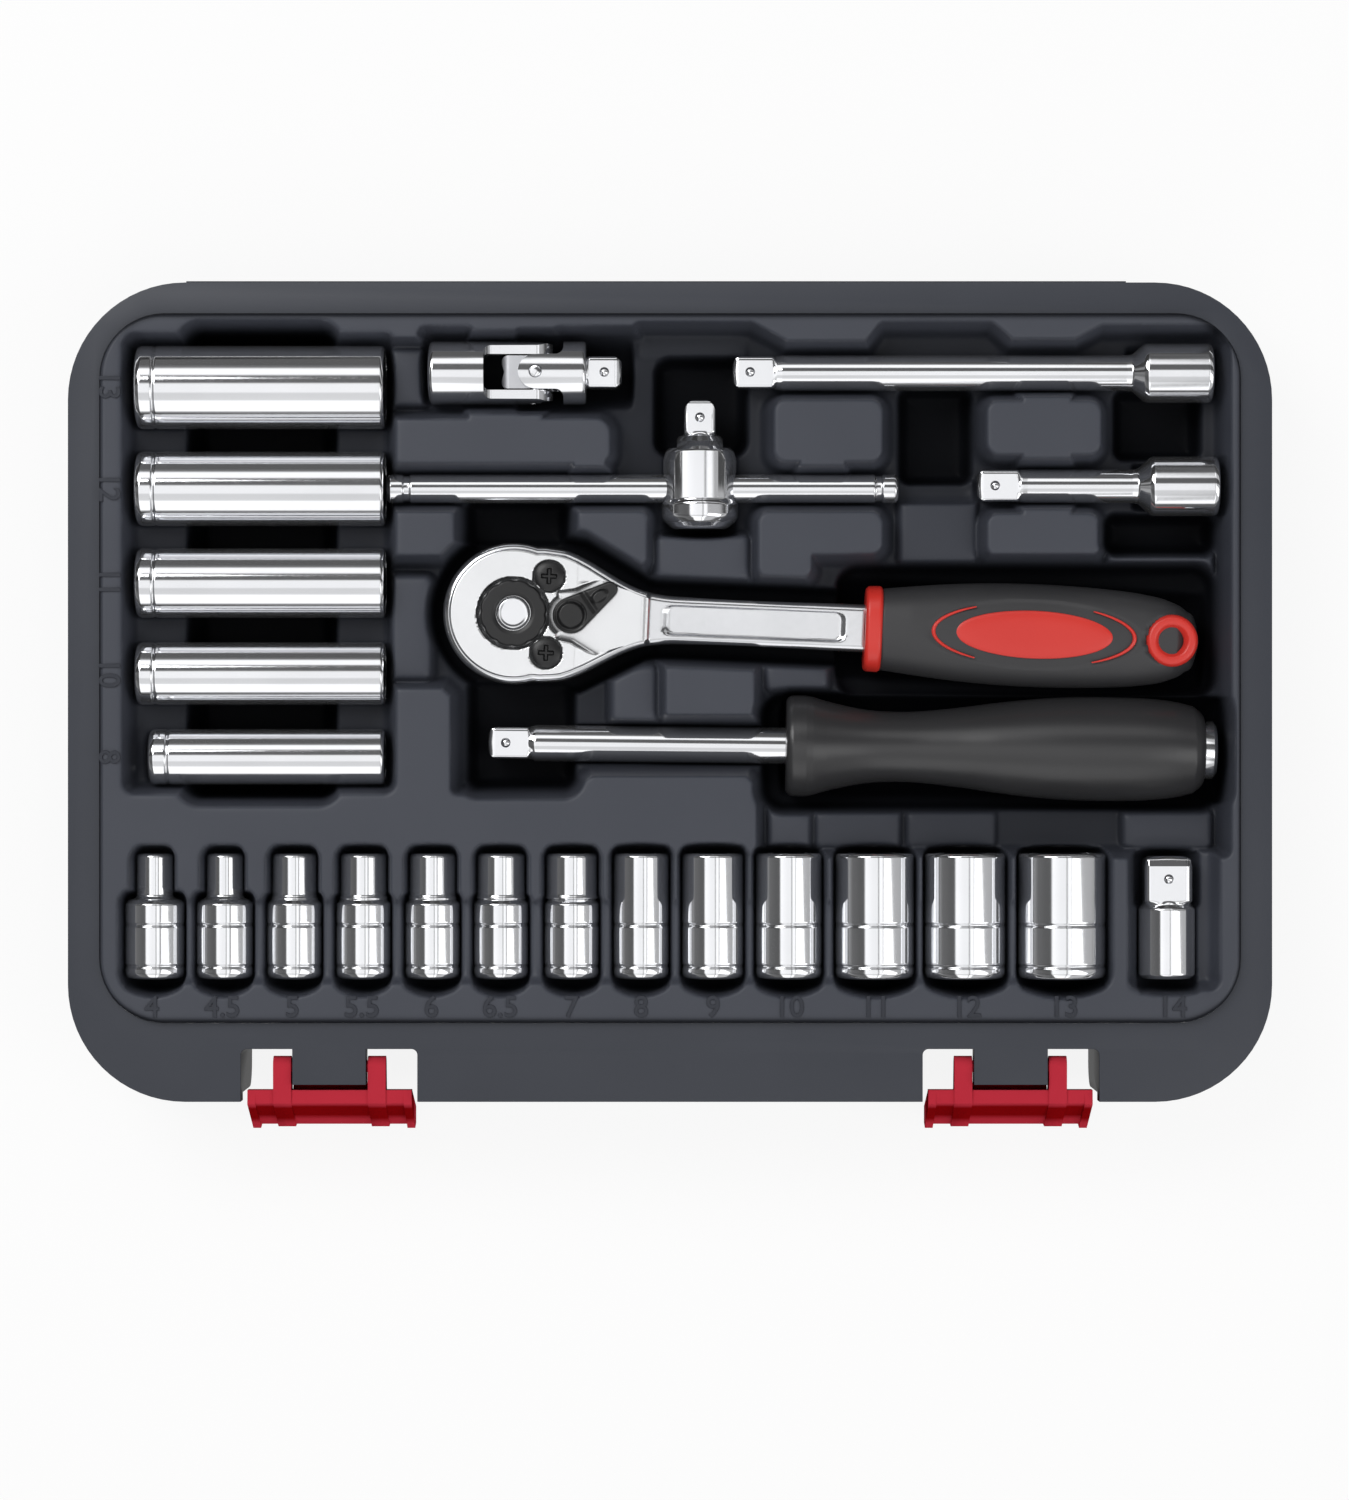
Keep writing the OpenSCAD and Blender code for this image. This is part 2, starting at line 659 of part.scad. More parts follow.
// Half of a socket's lengthwise section: the hex end at -len, the drive end at 0.
function socket_half(od, neck, len, neck_len) = [
  [0, -len], [neck / 2 - edge, -len], [neck / 2, edge - len],
  each neck < od ? [[neck / 2, neck_len - len], [od / 2, neck_len + socket_step - len]] : [],
  [od / 2, -groove_in - groove_w], [od / 2 - groove_d, -groove_in - groove_w / 2],
  [od / 2, -groove_in], [od / 2, -1.2], [od / 2 - 0.4, -0.4], [od / 2 - 1.2, 0], [0, 0]
];

module hex_hole(af, depth) {
  lie() cylinder(r = (af + hex_gap) / sqrt(3), h = depth, $fn = 6);
  turned([[0, -0.1], [(af + hex_gap) / 2 + edge + 0.1, -0.1], [(af + hex_gap) / 2 - 0.1, edge + 0.1], [0, edge + 0.1]]);
}

module socket(af, od, neck, len) {
  hex_depth = len > 30 ? len - square_depth - web : 10.5;
  color([0.86, 0.87, 0.88]) difference() {
    turned(socket_half(od, neck, len, neck_len));
    translate([-len, 0, 0]) hex_hole(af, hex_depth);
    rod(min(passage_r, af * 0.45 + 0.6), -len + 1, -1);
    square_socket(square_depth);
  }
}

module deep_socket(i) at_deep(i) socket(deep_af[i], deep_od[i], deep_od[i], deep_long(i));

module standard_socket(i) at_socket(i) socket(socket_af[i], socket_od[i], socket_neck_od[i], socket_len);

// ---- adaptor and extensions ----

module drive_adaptor() {
  color([0.86, 0.87, 0.88]) at_adaptor() {
    difference() {
      turned([[0, 0], [adaptor_od / 2 - 0.8, 0], [adaptor_od / 2, 0.8], [adaptor_od / 2, adaptor_len - edge],
              [adaptor_od / 2 - edge, adaptor_len], [0, adaptor_len]]);
      rotate([0, 0, 180]) square_socket(square_depth);
    }
    translate([adaptor_len, 0, 0]) difference() {
      intersection() {
        slab(-0.5, big_square_len, -big_square_w / 2, big_square_w / 2, -big_square_w / 2, big_square_w / 2);
        turned([[0, -0.5], [6.2, -0.5], [6.2, big_square_len - 2], [4.4, big_square_len], [0, big_square_len]]);
      }
      translate([big_square_len - 4.6, 0, big_square_w / 2 - 3]) cylinder(r = ball_r + run_gap, h = 4);
    }
  }
}

module adaptor_ball() {
  color([0.8, 0.8, 0.82]) at_adaptor()
    translate([adaptor_len + big_square_len - 4.6, 0, big_square_w / 2 + ball_proud - ball_r]) sphere(ball_r);
}

module extension(len, od) {
  color([0.86, 0.87, 0.88]) {
    difference() {
      turned([[0, 0], [female_od / 2 - 0.8, 0], [female_od / 2, 0.8], [female_od / 2, female_len],
              [od / 2, female_len + 2.4], [od / 2, len - long_square_len - 1], [od / 2 - 0.6, len - long_square_len],
              [0, len - long_square_len]]);
      rotate([0, 0, 180]) square_socket(square_depth);
    }
    translate([len - long_square_len, 0, 0]) square_drive(square_w, long_square_len);
  }
}

module long_extension() at_long() extension(long_len, long_od);

module short_extension() at_short() extension(short_len, short_od);

module long_extension_ball() color([0.8, 0.8, 0.82]) at_long() detent_ball(long_len);

module short_extension_ball() color([0.8, 0.8, 0.82]) at_short() detent_ball(short_len);

// ---- universal joint ----

EAR_R = 4.2; // rounding of the ears about their pins
CROTCH = 5.2; // the yokes' crotches lie this far from the crossing
slot_half = block_w / 2 + arm_gap;

// The two ears of a yoke that points along +X towards the crossing; they stand at +Y and -Y.
module ears(root) {
  intersection() {
    rod(joint_od / 2, root, EAR_R);
    union() {
      slab(root, 0, -joint_od, joint_od, -ear_w / 2, ear_w / 2);
      rotate([90, 0, 0]) cylinder(r = ear_w / 2, h = joint_od * 2, center = true);
    }
  }
}

module joint_socket_yoke() {
  root = yoke_root - joint_front_len;
  color([0.86, 0.87, 0.88]) at_joint() difference() {
    union() {
      translate([-joint_front_len, 0, 0])
        turned([[0, 0], [joint_od / 2 - 0.8, 0], [joint_od / 2, 0.8], [joint_od / 2, yoke_root], [0, yoke_root]]);
      ears(root - 0.5);
    }
    slab(root, joint_od, -slot_half, slot_half, -joint_od, joint_od);
    translate([-joint_front_len, 0, 0]) rotate([0, 0, 180]) square_socket(square_depth);
    rotate([90, 0, 0]) cylinder(r = joint_pin_r, h = joint_od * 2, center = true);
  }
}

module joint_drive_yoke() {
  color([0.86, 0.87, 0.88]) at_joint() {
    difference() {
      union() {
        turned([[0, CROTCH], [joint_od / 2, CROTCH], [joint_od / 2, joint_back_len - 0.6],
                [joint_od / 2 - 0.6, joint_back_len], [0, joint_back_len]]);
        rotate([0, 0, 180]) rotate([90, 0, 0]) ears(-CROTCH - 0.5);
      }
      slab(-joint_od, CROTCH, -joint_od, joint_od, -slot_half, slot_half);
      cylinder(r = joint_pin_r, h = joint_od * 2, center = true);
    }
    translate([joint_back_len, 0, 0]) square_drive(square_w, square_len);
  }
}

module joint_block() {
  color([0.5, 0.5, 0.52]) at_joint() difference() {
    cube(block_w, center = true);
    rotate([90, 0, 0]) cylinder(r = joint_pin_r + run_gap, h = joint_od, center = true);
    cylinder(r = joint_pin_r + run_gap, h = joint_od, center = true);
  }
}

module joint_cross_pin() {
  color([0.75, 0.76, 0.78]) at_joint() rotate([90, 0, 0]) cylinder(r = joint_pin_r, h = joint_od - 0.6, center = true);
}

module joint_stub_pins() {
  len = (joint_od - 0.6) / 2 - joint_pin_r - 0.3;
  color([0.75, 0.76, 0.78]) at_joint() for (s = [0, 180]) rotate([s, 0, 0])
    translate([0, 0, joint_pin_r + 0.3]) cylinder(r = joint_pin_r, h = len);
}

module joint_ball() color([0.8, 0.8, 0.82]) at_joint() translate([joint_back_len, 0, 0]) detent_ball(square_len);

// ---- sliding tee ----

module tee_bar() {
  color([0.86, 0.87, 0.88]) translate([bar_x, tee_y, tool_z]) difference() {
    turned([[0, 0], [bar_od / 2 - 0.5, 0], [bar_od / 2, 0.5], [bar_od / 2, bar_len - 0.5],
            [bar_od / 2 - 0.5, bar_len], [0, bar_len]]);
    for (x = [4, bar_len - 4])
      translate([x, 0, 0]) turned([[bar_od / 2 - 0.3, -0.8], [bar_od, -0.8], [bar_od, 0.8], [bar_od / 2 - 0.3, 0.8]]);
  }
}

module tee_head() {
  r = tee_od / 2;
  color([0.86, 0.87, 0.88]) at_tee() {
    difference() {
      turned([[0, -tee_front], [r - 3, -tee_front], [r - 0.6, 1.6 - tee_front], [r, 3 - tee_front],
              [r, tee_rear - 5.4], [r - 0.8, tee_rear - 3.6], [r - 2.5, tee_rear - 1.8],
              [square_w * 0.6, tee_rear], [0, tee_rear]]);
      rotate([0, 0, 90]) rod(bar_od / 2 + run_gap, -r - 1, r + 1);
      rod(ball_r + run_gap, -bar_od / 2 - 3.4, 0);
    }
    translate([tee_rear, 0, 0]) square_drive(square_w, square_len);
  }
}

module tee_ball() color([0.8, 0.8, 0.82]) at_tee() translate([tee_rear, 0, 0]) detent_ball(square_len);

module tee_bar_ball() color([0.8, 0.8, 0.82]) at_tee() translate([-bar_od / 2 - ball_r - run_gap, 0, 0]) sphere(ball_r);

// ---- ratchet ----

// The pear-shaped head, as a block of height h whose sides stand out by grow.
module head_block(grow, h) {
  cylinder(r = head_r + grow, h = h);
  translate([6, 0, 0]) cylinder(r = head_r - 0.6 + grow, h = h);
  linear_extrude(h) polygon([
    [6, head_r - 0.6 + grow], [10.6, 13 + grow], [25, 6.4 + grow], [33, shank_w / 2 + grow],
    [33, -shank_w / 2 - grow], [25, -6.4 - grow], [10.6, -13 - grow], [6, 0.6 - head_r - grow]
  ]);
}

module gear_outline(gap) {
  step = 360 / teeth;
  polygon([for (i = [0:teeth - 1]) each [polar(gear_r - tooth_h + gap, step * i),
                                         polar(gear_r + gap, step * (i + 0.5))]]);
}

module about_pivot(a) translate([pivot_x, 0]) rotate(a) translate([-pivot_x, 0]) children();

module pawl_outline() {
  difference() {
    union() {
      translate([pivot_x, 0]) circle(3.2);
      polygon([[pivot_x + 2.4, 2.4], [11, 4.9], [9.2, 5.4], [6.3, 4.3], [4.8, 3.4], [6, 0], [4.8, -3.4],
               [6.3, -4.3], [9.2, -5.4], [11, -4.9], [pivot_x + 2.4, -2.4]]);
    }
    for (a = [-pawl_rock, pawl_rock]) about_pivot(a) gear_outline(mesh_gap);
    intersection() {
      circle(gear_r + 0.35);
      translate([0, -2.9]) square([pivot_x, 5.8]);
    }
    translate([pivot_x, 0]) circle(shaft_r + run_gap);
  }
}

module in_head() at_ratchet() translate([0, 0, head_z]) children();

module ratchet_body() {
  color([0.84, 0.85, 0.86]) in_head() difference() {
    union() {
      head_block(0, head_h);
      translate([0, 0, head_h / 2]) intersection() {
        rod(5.7, 22, grip_x + 1);
        slab(22, grip_x + 1, -shank_w / 2, shank_w / 2, -4, 4);
      }
      translate([0, 0, head_h / 2]) rod(tang_r, grip_x, grip_x + 36);
    }
    translate([0, 0, head_floor]) cylinder(r = gear_r + 0.3, h = head_h);
    translate([pivot_x - 0.6, 0, head_floor]) cylinder(r = 6.9, h = head_h);
    translate([0, 0, -1]) cylinder(r = journal_r + run_gap, h = head_h);
    translate([pivot_x, 0, 0.8]) cylinder(r = shaft_r + run_gap, h = head_h);
    for (s = [-1, 1]) translate([screw_x, s * screw_y, 3]) cylinder(r = 1.2, h = head_h);
    slab(34, 66, -2.8, 2.8, head_h / 2 + 3.4, head_h);
    slab(34, 66, -2.8, 2.8, -1, head_h / 2 - 3.4);
    translate([0, 0, -0.01]) slab(27, grip_x, -shank_w, shank_w, 0, head_h / 2 - 4);
    slab(27, grip_x, -shank_w, shank_w, head_h / 2 + 4, head_h + 1);
  }
}

module cover_plate() {
  color([0.88, 0.89, 0.9]) in_head() translate([0, 0, head_h]) difference() {
    intersection() {
      head_block(-cover_in, cover_t);
      slab(-head_r, 27, -head_r, head_r, 0, cover_t);
    }
    translate([0, 0, -1]) cylinder(r = ring_r + 0.1, h = cover_t + 2);
    translate([pivot_x, 0, -1]) cylinder(r = collar_r + run_gap, h = cover_t + 2);
    translate([0, 0, cover_t - wedge_d]) linear_extrude(cover_t) {
      translate([pivot_x, 0]) circle(4.3);
      polygon([[pivot_x - 2, 3.8], [19.4, 8.6], [30, 8.6], [30, -8.6], [19.4, -8.6], [pivot_x - 2, -3.8]]);
    }
    for (s = [-1, 1]) translate([screw_x, s * screw_y, 0]) {
      translate([0, 0, -1]) cylinder(r = 1.3, h = cover_t + 2);
      translate([0, 0, 0.6]) cylinder(r = screw_r + 0.05, h = cover_t);
    }
  }
}

module cover_screws() {
  color([0.2, 0.2, 0.21]) in_head() for (s = [-1, 1]) translate([screw_x, s * screw_y, head_h]) difference() {
    union() {
      translate([0, 0, 0.6]) cylinder(r = screw_r, h = cover_t - 0.4);
      translate([0, 0, -6]) cylinder(r = 1.2, h = 7);
    }
    for (a = [0, 90]) rotate([0, 0, a]) slab(-1.5, 1.5, -0.3, 0.3, cover_t - 0.6, cover_t + 1);
  }
}

module at_lever() in_head() translate([pivot_x, 0, 0]) rotate([0, 0, lever_swing]) children();

module direction_lever() {
  low = head_h + cover_t - wedge_d + 0.25;
  tip = [lever_len, 0];
  color([0.23, 0.23, 0.24]) at_lever() difference() {
    union() {
      translate([0, 0, 1]) cylinder(r = shaft_r, h = head_h);
      translate([0, 0, rim_low + 0.1]) cylinder(r = collar_r, h = low - rim_low);
      translate([0, 0, low]) linear_extrude(2.2) {
        circle(3.7);
        translate(tip) circle(1.6);
        polygon([[0.6, 3.65], tip + [0.3, 1.57], tip + [0.3, -1.57], [0.6, -3.65]]);
      }
      translate([0, 0, low + 2]) cylinder(r1 = 2.6, r2 = 2.2, h = 0.8);
      translate([0, 0, low + 2]) slab(5.4, lever_len + 0.8, -0.9, 0.9, 0, 0.7);
    }
    translate([0, 0, (rim_low + rim_high) / 2 + 0.1]) rod(plunger_r + run_gap, -collar_r - 1, 0.6);
  }
}

module lever_plunger() {
  color([0.75, 0.76, 0.78]) at_lever() translate([0, 0, (rim_low + rim_high) / 2 + 0.1])
    rod(plunger_r, -rim_r + 0.1, -1.3);
}

module lever_spring() {
  color([0.6, 0.62, 0.65]) at_lever() translate([0, 0, (rim_low + rim_high) / 2 + 0.1]) difference() {
    rod(plunger_r - 0.1, -1.28, 0.55);
    rod(plunger_r - 0.3, -2, 0.56);
  }
}

// The pawl's upright rim, along which the plunger slides.
module pawl_rim() {
  difference() {
    translate([pivot_x, 0]) circle(rim_r + 1.1);
    translate([pivot_x, 0]) circle(rim_r);
    translate([pivot_x - 1.2, -8]) square([16, 16]);
  }
}

module pawl() {
  color([0.5, 0.5, 0.53]) in_head() translate([pivot_x, 0, 0]) rotate([0, 0, pawl_rock])
    translate([-pivot_x, 0, 0]) {
      translate([0, 0, gear_low]) linear_extrude(gear_high - gear_low) pawl_outline();
      translate([0, 0, gear_high - 0.5]) linear_extrude(rim_low - gear_high + 0.6) difference() {
        pawl_rim();
        for (a = [-pawl_rock, pawl_rock]) about_pivot(a) circle(gear_r + 0.1);
      }
      translate([0, 0, rim_low]) linear_extrude(rim_high - rim_low) pawl_rim();
    }
}

module drive_gear() {
  side = square_w / 2;
  ball_h = ball_in - square_len;
  color([0.7, 0.71, 0.73]) in_head() difference() {
    union() {
      translate([0, 0, gear_low]) linear_extrude(gear_high - gear_low) gear_outline(0);
      translate([0, 0, gear_high - 0.5]) cylinder(r = hub_r, h = head_h + 0.3 - gear_high + 0.5);
      translate([0, 0, -0.2]) cylinder(r = journal_r, h = gear_low + 0.4);
      intersection() {
        translate([-side, -side, -square_len]) cube([square_w, square_w, square_len]);
        translate([0, 0, -square_len]) rotate_extrude()
          polygon([[0, 0], [side * 0.84, 0], [square_w * 0.66, 1.6], [square_w * 0.66, 9], [0, 9]]);
      }
    }
    translate([0, 0, -square_len - 1]) cylinder(r = stem_r + run_gap, h = 20);
    translate([0, 0, spring_low]) cylinder(r = button_r + run_gap, h = 20);
    translate([0, 0, ball_h]) rotate([-90, 0, 0]) cylinder(r = ball_r + run_gap, h = 5);
  }
}

module gear_ball() {
  color([0.8, 0.8, 0.82]) in_head() translate([0, ball_z, ball_in - square_len]) sphere(ball_r);
}

module release_button() {
  ball_h = ball_in - square_len;
  color([0.86, 0.87, 0.88]) in_head() {
    translate([0, 0, button_low]) rotate_extrude()
      polygon([[0, 0], [button_r, 0], [button_r, 3.4], [button_r - 0.4, 3.8], [0, 3.8]]);
    translate([0, 0, -square_len + button_travel + 0.3]) difference() {
      cylinder(r = stem_r, h = square_len + button_low - button_travel);
      translate([0, 0, ball_in - 0.3]) rotate_extrude()
        translate([stem_r - 0.5, -0.8]) square([2, 1.6]);
    }
  }
}

module button_spring() {
  color([0.6, 0.62, 0.65]) in_head() translate([0, 0, spring_low + 0.02]) difference() {
    cylinder(r = 2.3, h = button_low - spring_low - 0.04);
    translate([0, 0, -1]) cylinder(r = 1.7, h = 10);
  }
}

module dial_ring() {
  color([0.2, 0.2, 0.21]) in_head() translate([0, 0, head_h + 0.3]) difference() {
    rotate_extrude()
      polygon([[button_r + 0.15, 0], [ring_r, 0], [ring_r, 1.6], [ring_r - 0.4, 2], [button_r + 0.15, 2]]);
    for (i = [0:11]) rotate([0, 0, 30 * i]) translate([ring_r + 0.5, 0, -1]) cylinder(r = 0.7, h = 5);
  }
}

// ---- ratchet handle ----

GRIP_HALF = [[74, 8.4], [80, 9.1], [88, 9.8], [96, 10.25], [103, grip_r], [112, 10.3], [120, 9.9], [127, 9.2],
             [132, 8], [135.5, 6.2], [137.6, 3.6], [grip_end, 0]];

module inlay() {
  hull() {
    circle(inlay_w);
    for (x = [-1, 1]) translate([x * (inlay_len - 3), 0]) circle(3, $fn = 32);
  }
}

module core_shape() {
  rod(core_r, grip_x + grip_start, hang_x);
  translate([inlay_x, 0, -grip_flat]) linear_extrude(2 * grip_flat) inlay();
  translate([hang_x, 0, 0]) cylinder(r = hang_r + ring_out, h = 2 * 7.4, center = true);
}

module handle_core() {
  color([0.85, 0.2, 0.17]) at_ratchet() translate([0, 0, handle_z]) difference() {
    union() {
      core_shape();
      intersection() {
        rod(8.8, grip_x, grip_x + grip_start);
        slab(grip_x, grip_x + 4, -9, 9, -8.6, 8.6);
      }
    }
    rod(tang_r, grip_x - 1, grip_x + 36);
    cylinder_at_hang();
  }
}

module cylinder_at_hang() translate([hang_x, 0, 0]) cylinder(r = hang_r, h = 40, center = true);

module handle_grip() {
  color([0.22, 0.22, 0.23]) at_ratchet() translate([0, 0, handle_z]) difference() {
    intersection() {
      turned([[0, grip_x + grip_start], for (p = GRIP_HALF) [p[1], p[0]]]);
      slab(0, 200, -20, 20, -grip_flat, grip_flat);
    }
    core_shape();
    translate([hang_x, 0, 0]) cylinder(r = hang_r + ring_out, h = 40, center = true);
  }
}

// ---- spinner handle ----

function waist(t) = t < 0.22 ? 10.2 - 3.1 * (1 - cos(t / 0.22 * 180)) / 2
                  : 7.1 + (spinner_r - 7.1) * (1 - cos(min(1, (t - 0.22) / 0.46) * 180)) / 2;

module spinner_shaft() {
  color([0.86, 0.87, 0.88]) at_spinner() {
    translate([long_square_len, 0, 0]) {
      rotate([0, 0, 180]) square_drive(square_w, long_square_len);
      turned([[0, 0], [spinner_od / 2 - 0.6, 0], [spinner_od / 2, 0.8],
              [spinner_od / 2, spinner_len - spinner_grip_len - long_square_len + 36],
              [0, spinner_len - spinner_grip_len - long_square_len + 36]]);
    }
  }
}

module spinner_grip() {
  start = spinner_len - spinner_grip_len - spinner_end_out;
  end = spinner_len - spinner_end_out;
  color([0.27, 0.27, 0.28]) at_spinner() difference() {
    turned([
      [0, start], [9.4, start], [10.2, start + 0.8], [10.2, start + 3],
      for (i = [0:18]) let (t = i / 18 * 0.9) [waist(t), start + 3 + (spinner_grip_len - 3) * t],
      [spinner_r - 0.8, end - 5.2], [spinner_r - 2, end - 2.2], [spinner_r - 3.4, end], [0, end]
    ]);
    rod(spinner_od / 2, 0, spinner_len - spinner_grip_len + 36);
    rod(spinner_end_od / 2, end - 14, end + 5);
  }
}

module spinner_end_socket() {
  color([0.86, 0.87, 0.88]) at_spinner() translate([spinner_len, 0, 0]) difference() {
    turned([[0, -spinner_end_out - 14], [spinner_end_od / 2, -spinner_end_out - 14],
            [spinner_end_od / 2, -0.7], [spinner_end_od / 2 - 0.7, 0], [0, 0]]);
    square_socket(square_depth);
  }
}

module spinner_ball() {
  color([0.8, 0.8, 0.82]) at_spinner() translate([ball_in, 0, ball_z]) sphere(ball_r);
}

// ---- the assembly ----

case_shell();
socket_bed();
deep_socket_bed();
extension_bed();
handle_bed();
latch_left();
latch_right();
for (i = [0:len(SIZES) - 1])
  standard_socket(i);
for (i = [0:len(DEEP_SIZES) - 1])
  deep_socket(i);
drive_adaptor();
adaptor_ball();
long_extension();
long_extension_ball();
short_extension();
short_extension_ball();
joint_socket_yoke();
joint_drive_yoke();
joint_block();
joint_cross_pin();
joint_stub_pins();
joint_ball();
tee_bar();
tee_head();
tee_ball();
tee_bar_ball();
ratchet_body();
cover_plate();
cover_screws();
direction_lever();
release_button();
dial_ring();
drive_gear();
pawl();
lever_plunger();
lever_spring();
button_spring();
gear_ball();
handle_core();
handle_grip();
spinner_shaft();
spinner_grip();
spinner_end_socket();
spinner_ball();
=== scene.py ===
# %% [markdown]
# # A socket wrench set in its case
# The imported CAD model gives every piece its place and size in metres.
# This lesson dresses those pieces: rounded edges, moulded plastic, polished steel.

# %% Load the frame
import json
import math

import bmesh
import bpy
import numpy as np
from mathutils import Matrix, Vector

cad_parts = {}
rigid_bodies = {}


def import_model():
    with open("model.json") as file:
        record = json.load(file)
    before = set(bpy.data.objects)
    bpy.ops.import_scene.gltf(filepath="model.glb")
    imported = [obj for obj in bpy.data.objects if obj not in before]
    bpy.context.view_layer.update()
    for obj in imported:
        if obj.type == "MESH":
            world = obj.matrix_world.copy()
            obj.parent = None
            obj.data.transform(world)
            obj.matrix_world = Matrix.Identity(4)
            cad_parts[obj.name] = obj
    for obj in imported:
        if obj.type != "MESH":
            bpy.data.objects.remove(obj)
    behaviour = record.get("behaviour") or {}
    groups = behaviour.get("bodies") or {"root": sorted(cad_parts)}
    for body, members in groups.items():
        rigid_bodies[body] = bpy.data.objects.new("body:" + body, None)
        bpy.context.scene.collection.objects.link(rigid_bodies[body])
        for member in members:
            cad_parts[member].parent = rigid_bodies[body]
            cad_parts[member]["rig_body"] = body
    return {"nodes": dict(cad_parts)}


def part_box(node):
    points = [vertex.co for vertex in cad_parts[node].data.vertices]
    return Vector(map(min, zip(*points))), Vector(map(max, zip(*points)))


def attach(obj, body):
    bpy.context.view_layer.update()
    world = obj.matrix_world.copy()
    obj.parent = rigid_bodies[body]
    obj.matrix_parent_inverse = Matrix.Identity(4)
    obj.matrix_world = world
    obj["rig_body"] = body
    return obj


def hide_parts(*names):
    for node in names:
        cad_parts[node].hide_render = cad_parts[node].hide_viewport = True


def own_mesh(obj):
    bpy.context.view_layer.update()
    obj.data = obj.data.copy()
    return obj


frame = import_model()
NODES = frame["nodes"]
BODY = {name: obj["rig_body"] for name, obj in NODES.items()}
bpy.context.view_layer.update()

# %% [markdown]
# ## Materials
# A material is a graph of shader nodes. `new_material` starts one and `wire` joins two sockets.

# %% Helpers for shader graphs
def new_material(name, **values):
    """An empty material with one Principled shader whose named inputs are set."""
    mat = bpy.data.materials.new(name)
    mat.use_nodes = True
    shader = mat.node_tree.nodes["Principled BSDF"]
    for key, value in values.items():
        shader.inputs[key.replace("_", " ")].default_value = value
    return mat, mat.node_tree, shader


def add(tree, kind, **values):
    """One shader node; keys that name an input set it, the others set a property."""
    node = tree.nodes.new(kind)
    for key, value in values.items():
        label = key.replace("_", " ")
        if label in node.inputs:
            node.inputs[label].default_value = value
        else:
            setattr(node, key, value)
    return node


def wire(tree, a, out, b, into):
    """Joins output `out` of node a to input `into` of node b."""
    tree.links.new(a.outputs[out], b.inputs[into])


def srgb(r, g, b):
    """An 0-255 colour as the linear values a shader works in."""
    parts = [c / 255 for c in (r, g, b)]
    linear = [c / 12.92 if c <= 0.04045 else ((c + 0.055) / 1.055) ** 2.4 for c in parts]
    return (*linear, 1.0)


def drifting(tree, place, low, high, scale, detail):
    """A colour that wanders between `low` and `high` with a noise of that scale."""
    drift = add(tree, "ShaderNodeTexNoise", Scale=scale, Detail=detail)
    ramp = add(tree, "ShaderNodeMix", data_type="RGBA")
    ramp.inputs["A"].default_value = srgb(*low)
    ramp.inputs["B"].default_value = srgb(*high)
    wire(tree, place, "Object", drift, "Vector")
    wire(tree, drift, "Fac", ramp, "Factor")
    return ramp.outputs["Result"]


def times(tree, a, b):
    """The product of two colours."""
    product = add(tree, "ShaderNodeMix", data_type="RGBA", blend_type="MULTIPLY")
    product.inputs["Factor"].default_value = 1.0
    tree.links.new(a, product.inputs["A"])
    tree.links.new(b, product.inputs["B"])
    return product.outputs["Result"]


def colour_ramp(tree, factor, stops):
    """A ramp driven by `factor`; each stop is a place from 0 to 1 and its red, green and blue."""
    ramp = add(tree, "ShaderNodeValToRGB")
    tree.links.new(factor, ramp.inputs["Fac"])
    marks = ramp.color_ramp.elements
    while len(marks) > 1:
        marks.remove(marks[-1])
    for n, (at, colour) in enumerate(stops):
        mark = marks[0] if n == 0 else marks.new(at)
        mark.position, mark.color = at, (*colour, 1)
    return ramp.outputs["Color"]


PLASTIC_DRIFT, PLASTIC_GRAIN, GRAIN_DEPTH = 40.0, 2600.0, 0.00004


def moulded(name, low, high, rough, spec=0.5):
    """Moulded plastic: a colour that drifts a little from `low` to `high`, with a fine grain."""
    mat, tree, shader = new_material(name, Roughness=rough)
    shader.inputs["Specular IOR Level"].default_value = spec
    place = add(tree, "ShaderNodeTexCoord")
    colour = drifting(tree, place, low, high, PLASTIC_DRIFT, 3.0)
    tree.links.new(colour, shader.inputs["Base Color"])
    grain = add(tree, "ShaderNodeTexNoise", Scale=PLASTIC_GRAIN, Detail=2.0)
    lift = add(tree, "ShaderNodeBump", Strength=0.35, Distance=GRAIN_DEPTH)
    wire(tree, place, "Object", grain, "Vector")
    wire(tree, grain, "Fac", lift, "Height")
    wire(tree, lift, "Normal", shader, "Normal")
    return mat


def with_painted_shade(mat):
    """Paints shade: multiplies a plastic's colour and its sheen by the mesh's own attribute called
    tone.
    """
    tree = mat.node_tree
    shader = tree.nodes["Principled BSDF"]
    colour = shader.inputs["Base Color"].links[0].from_socket
    tone = add(tree, "ShaderNodeAttribute", attribute_name="tone")
    tree.links.new(times(tree, colour, tone.outputs["Fac"]), shader.inputs["Base Color"])
    sheen = add(tree, "ShaderNodeMath", operation="MULTIPLY")
    sheen.inputs[1].default_value = shader.inputs["Specular IOR Level"].default_value
    wire(tree, tone, "Fac", sheen, 0)
    wire(tree, sheen, 0, shader, "Specular IOR Level")
    return mat


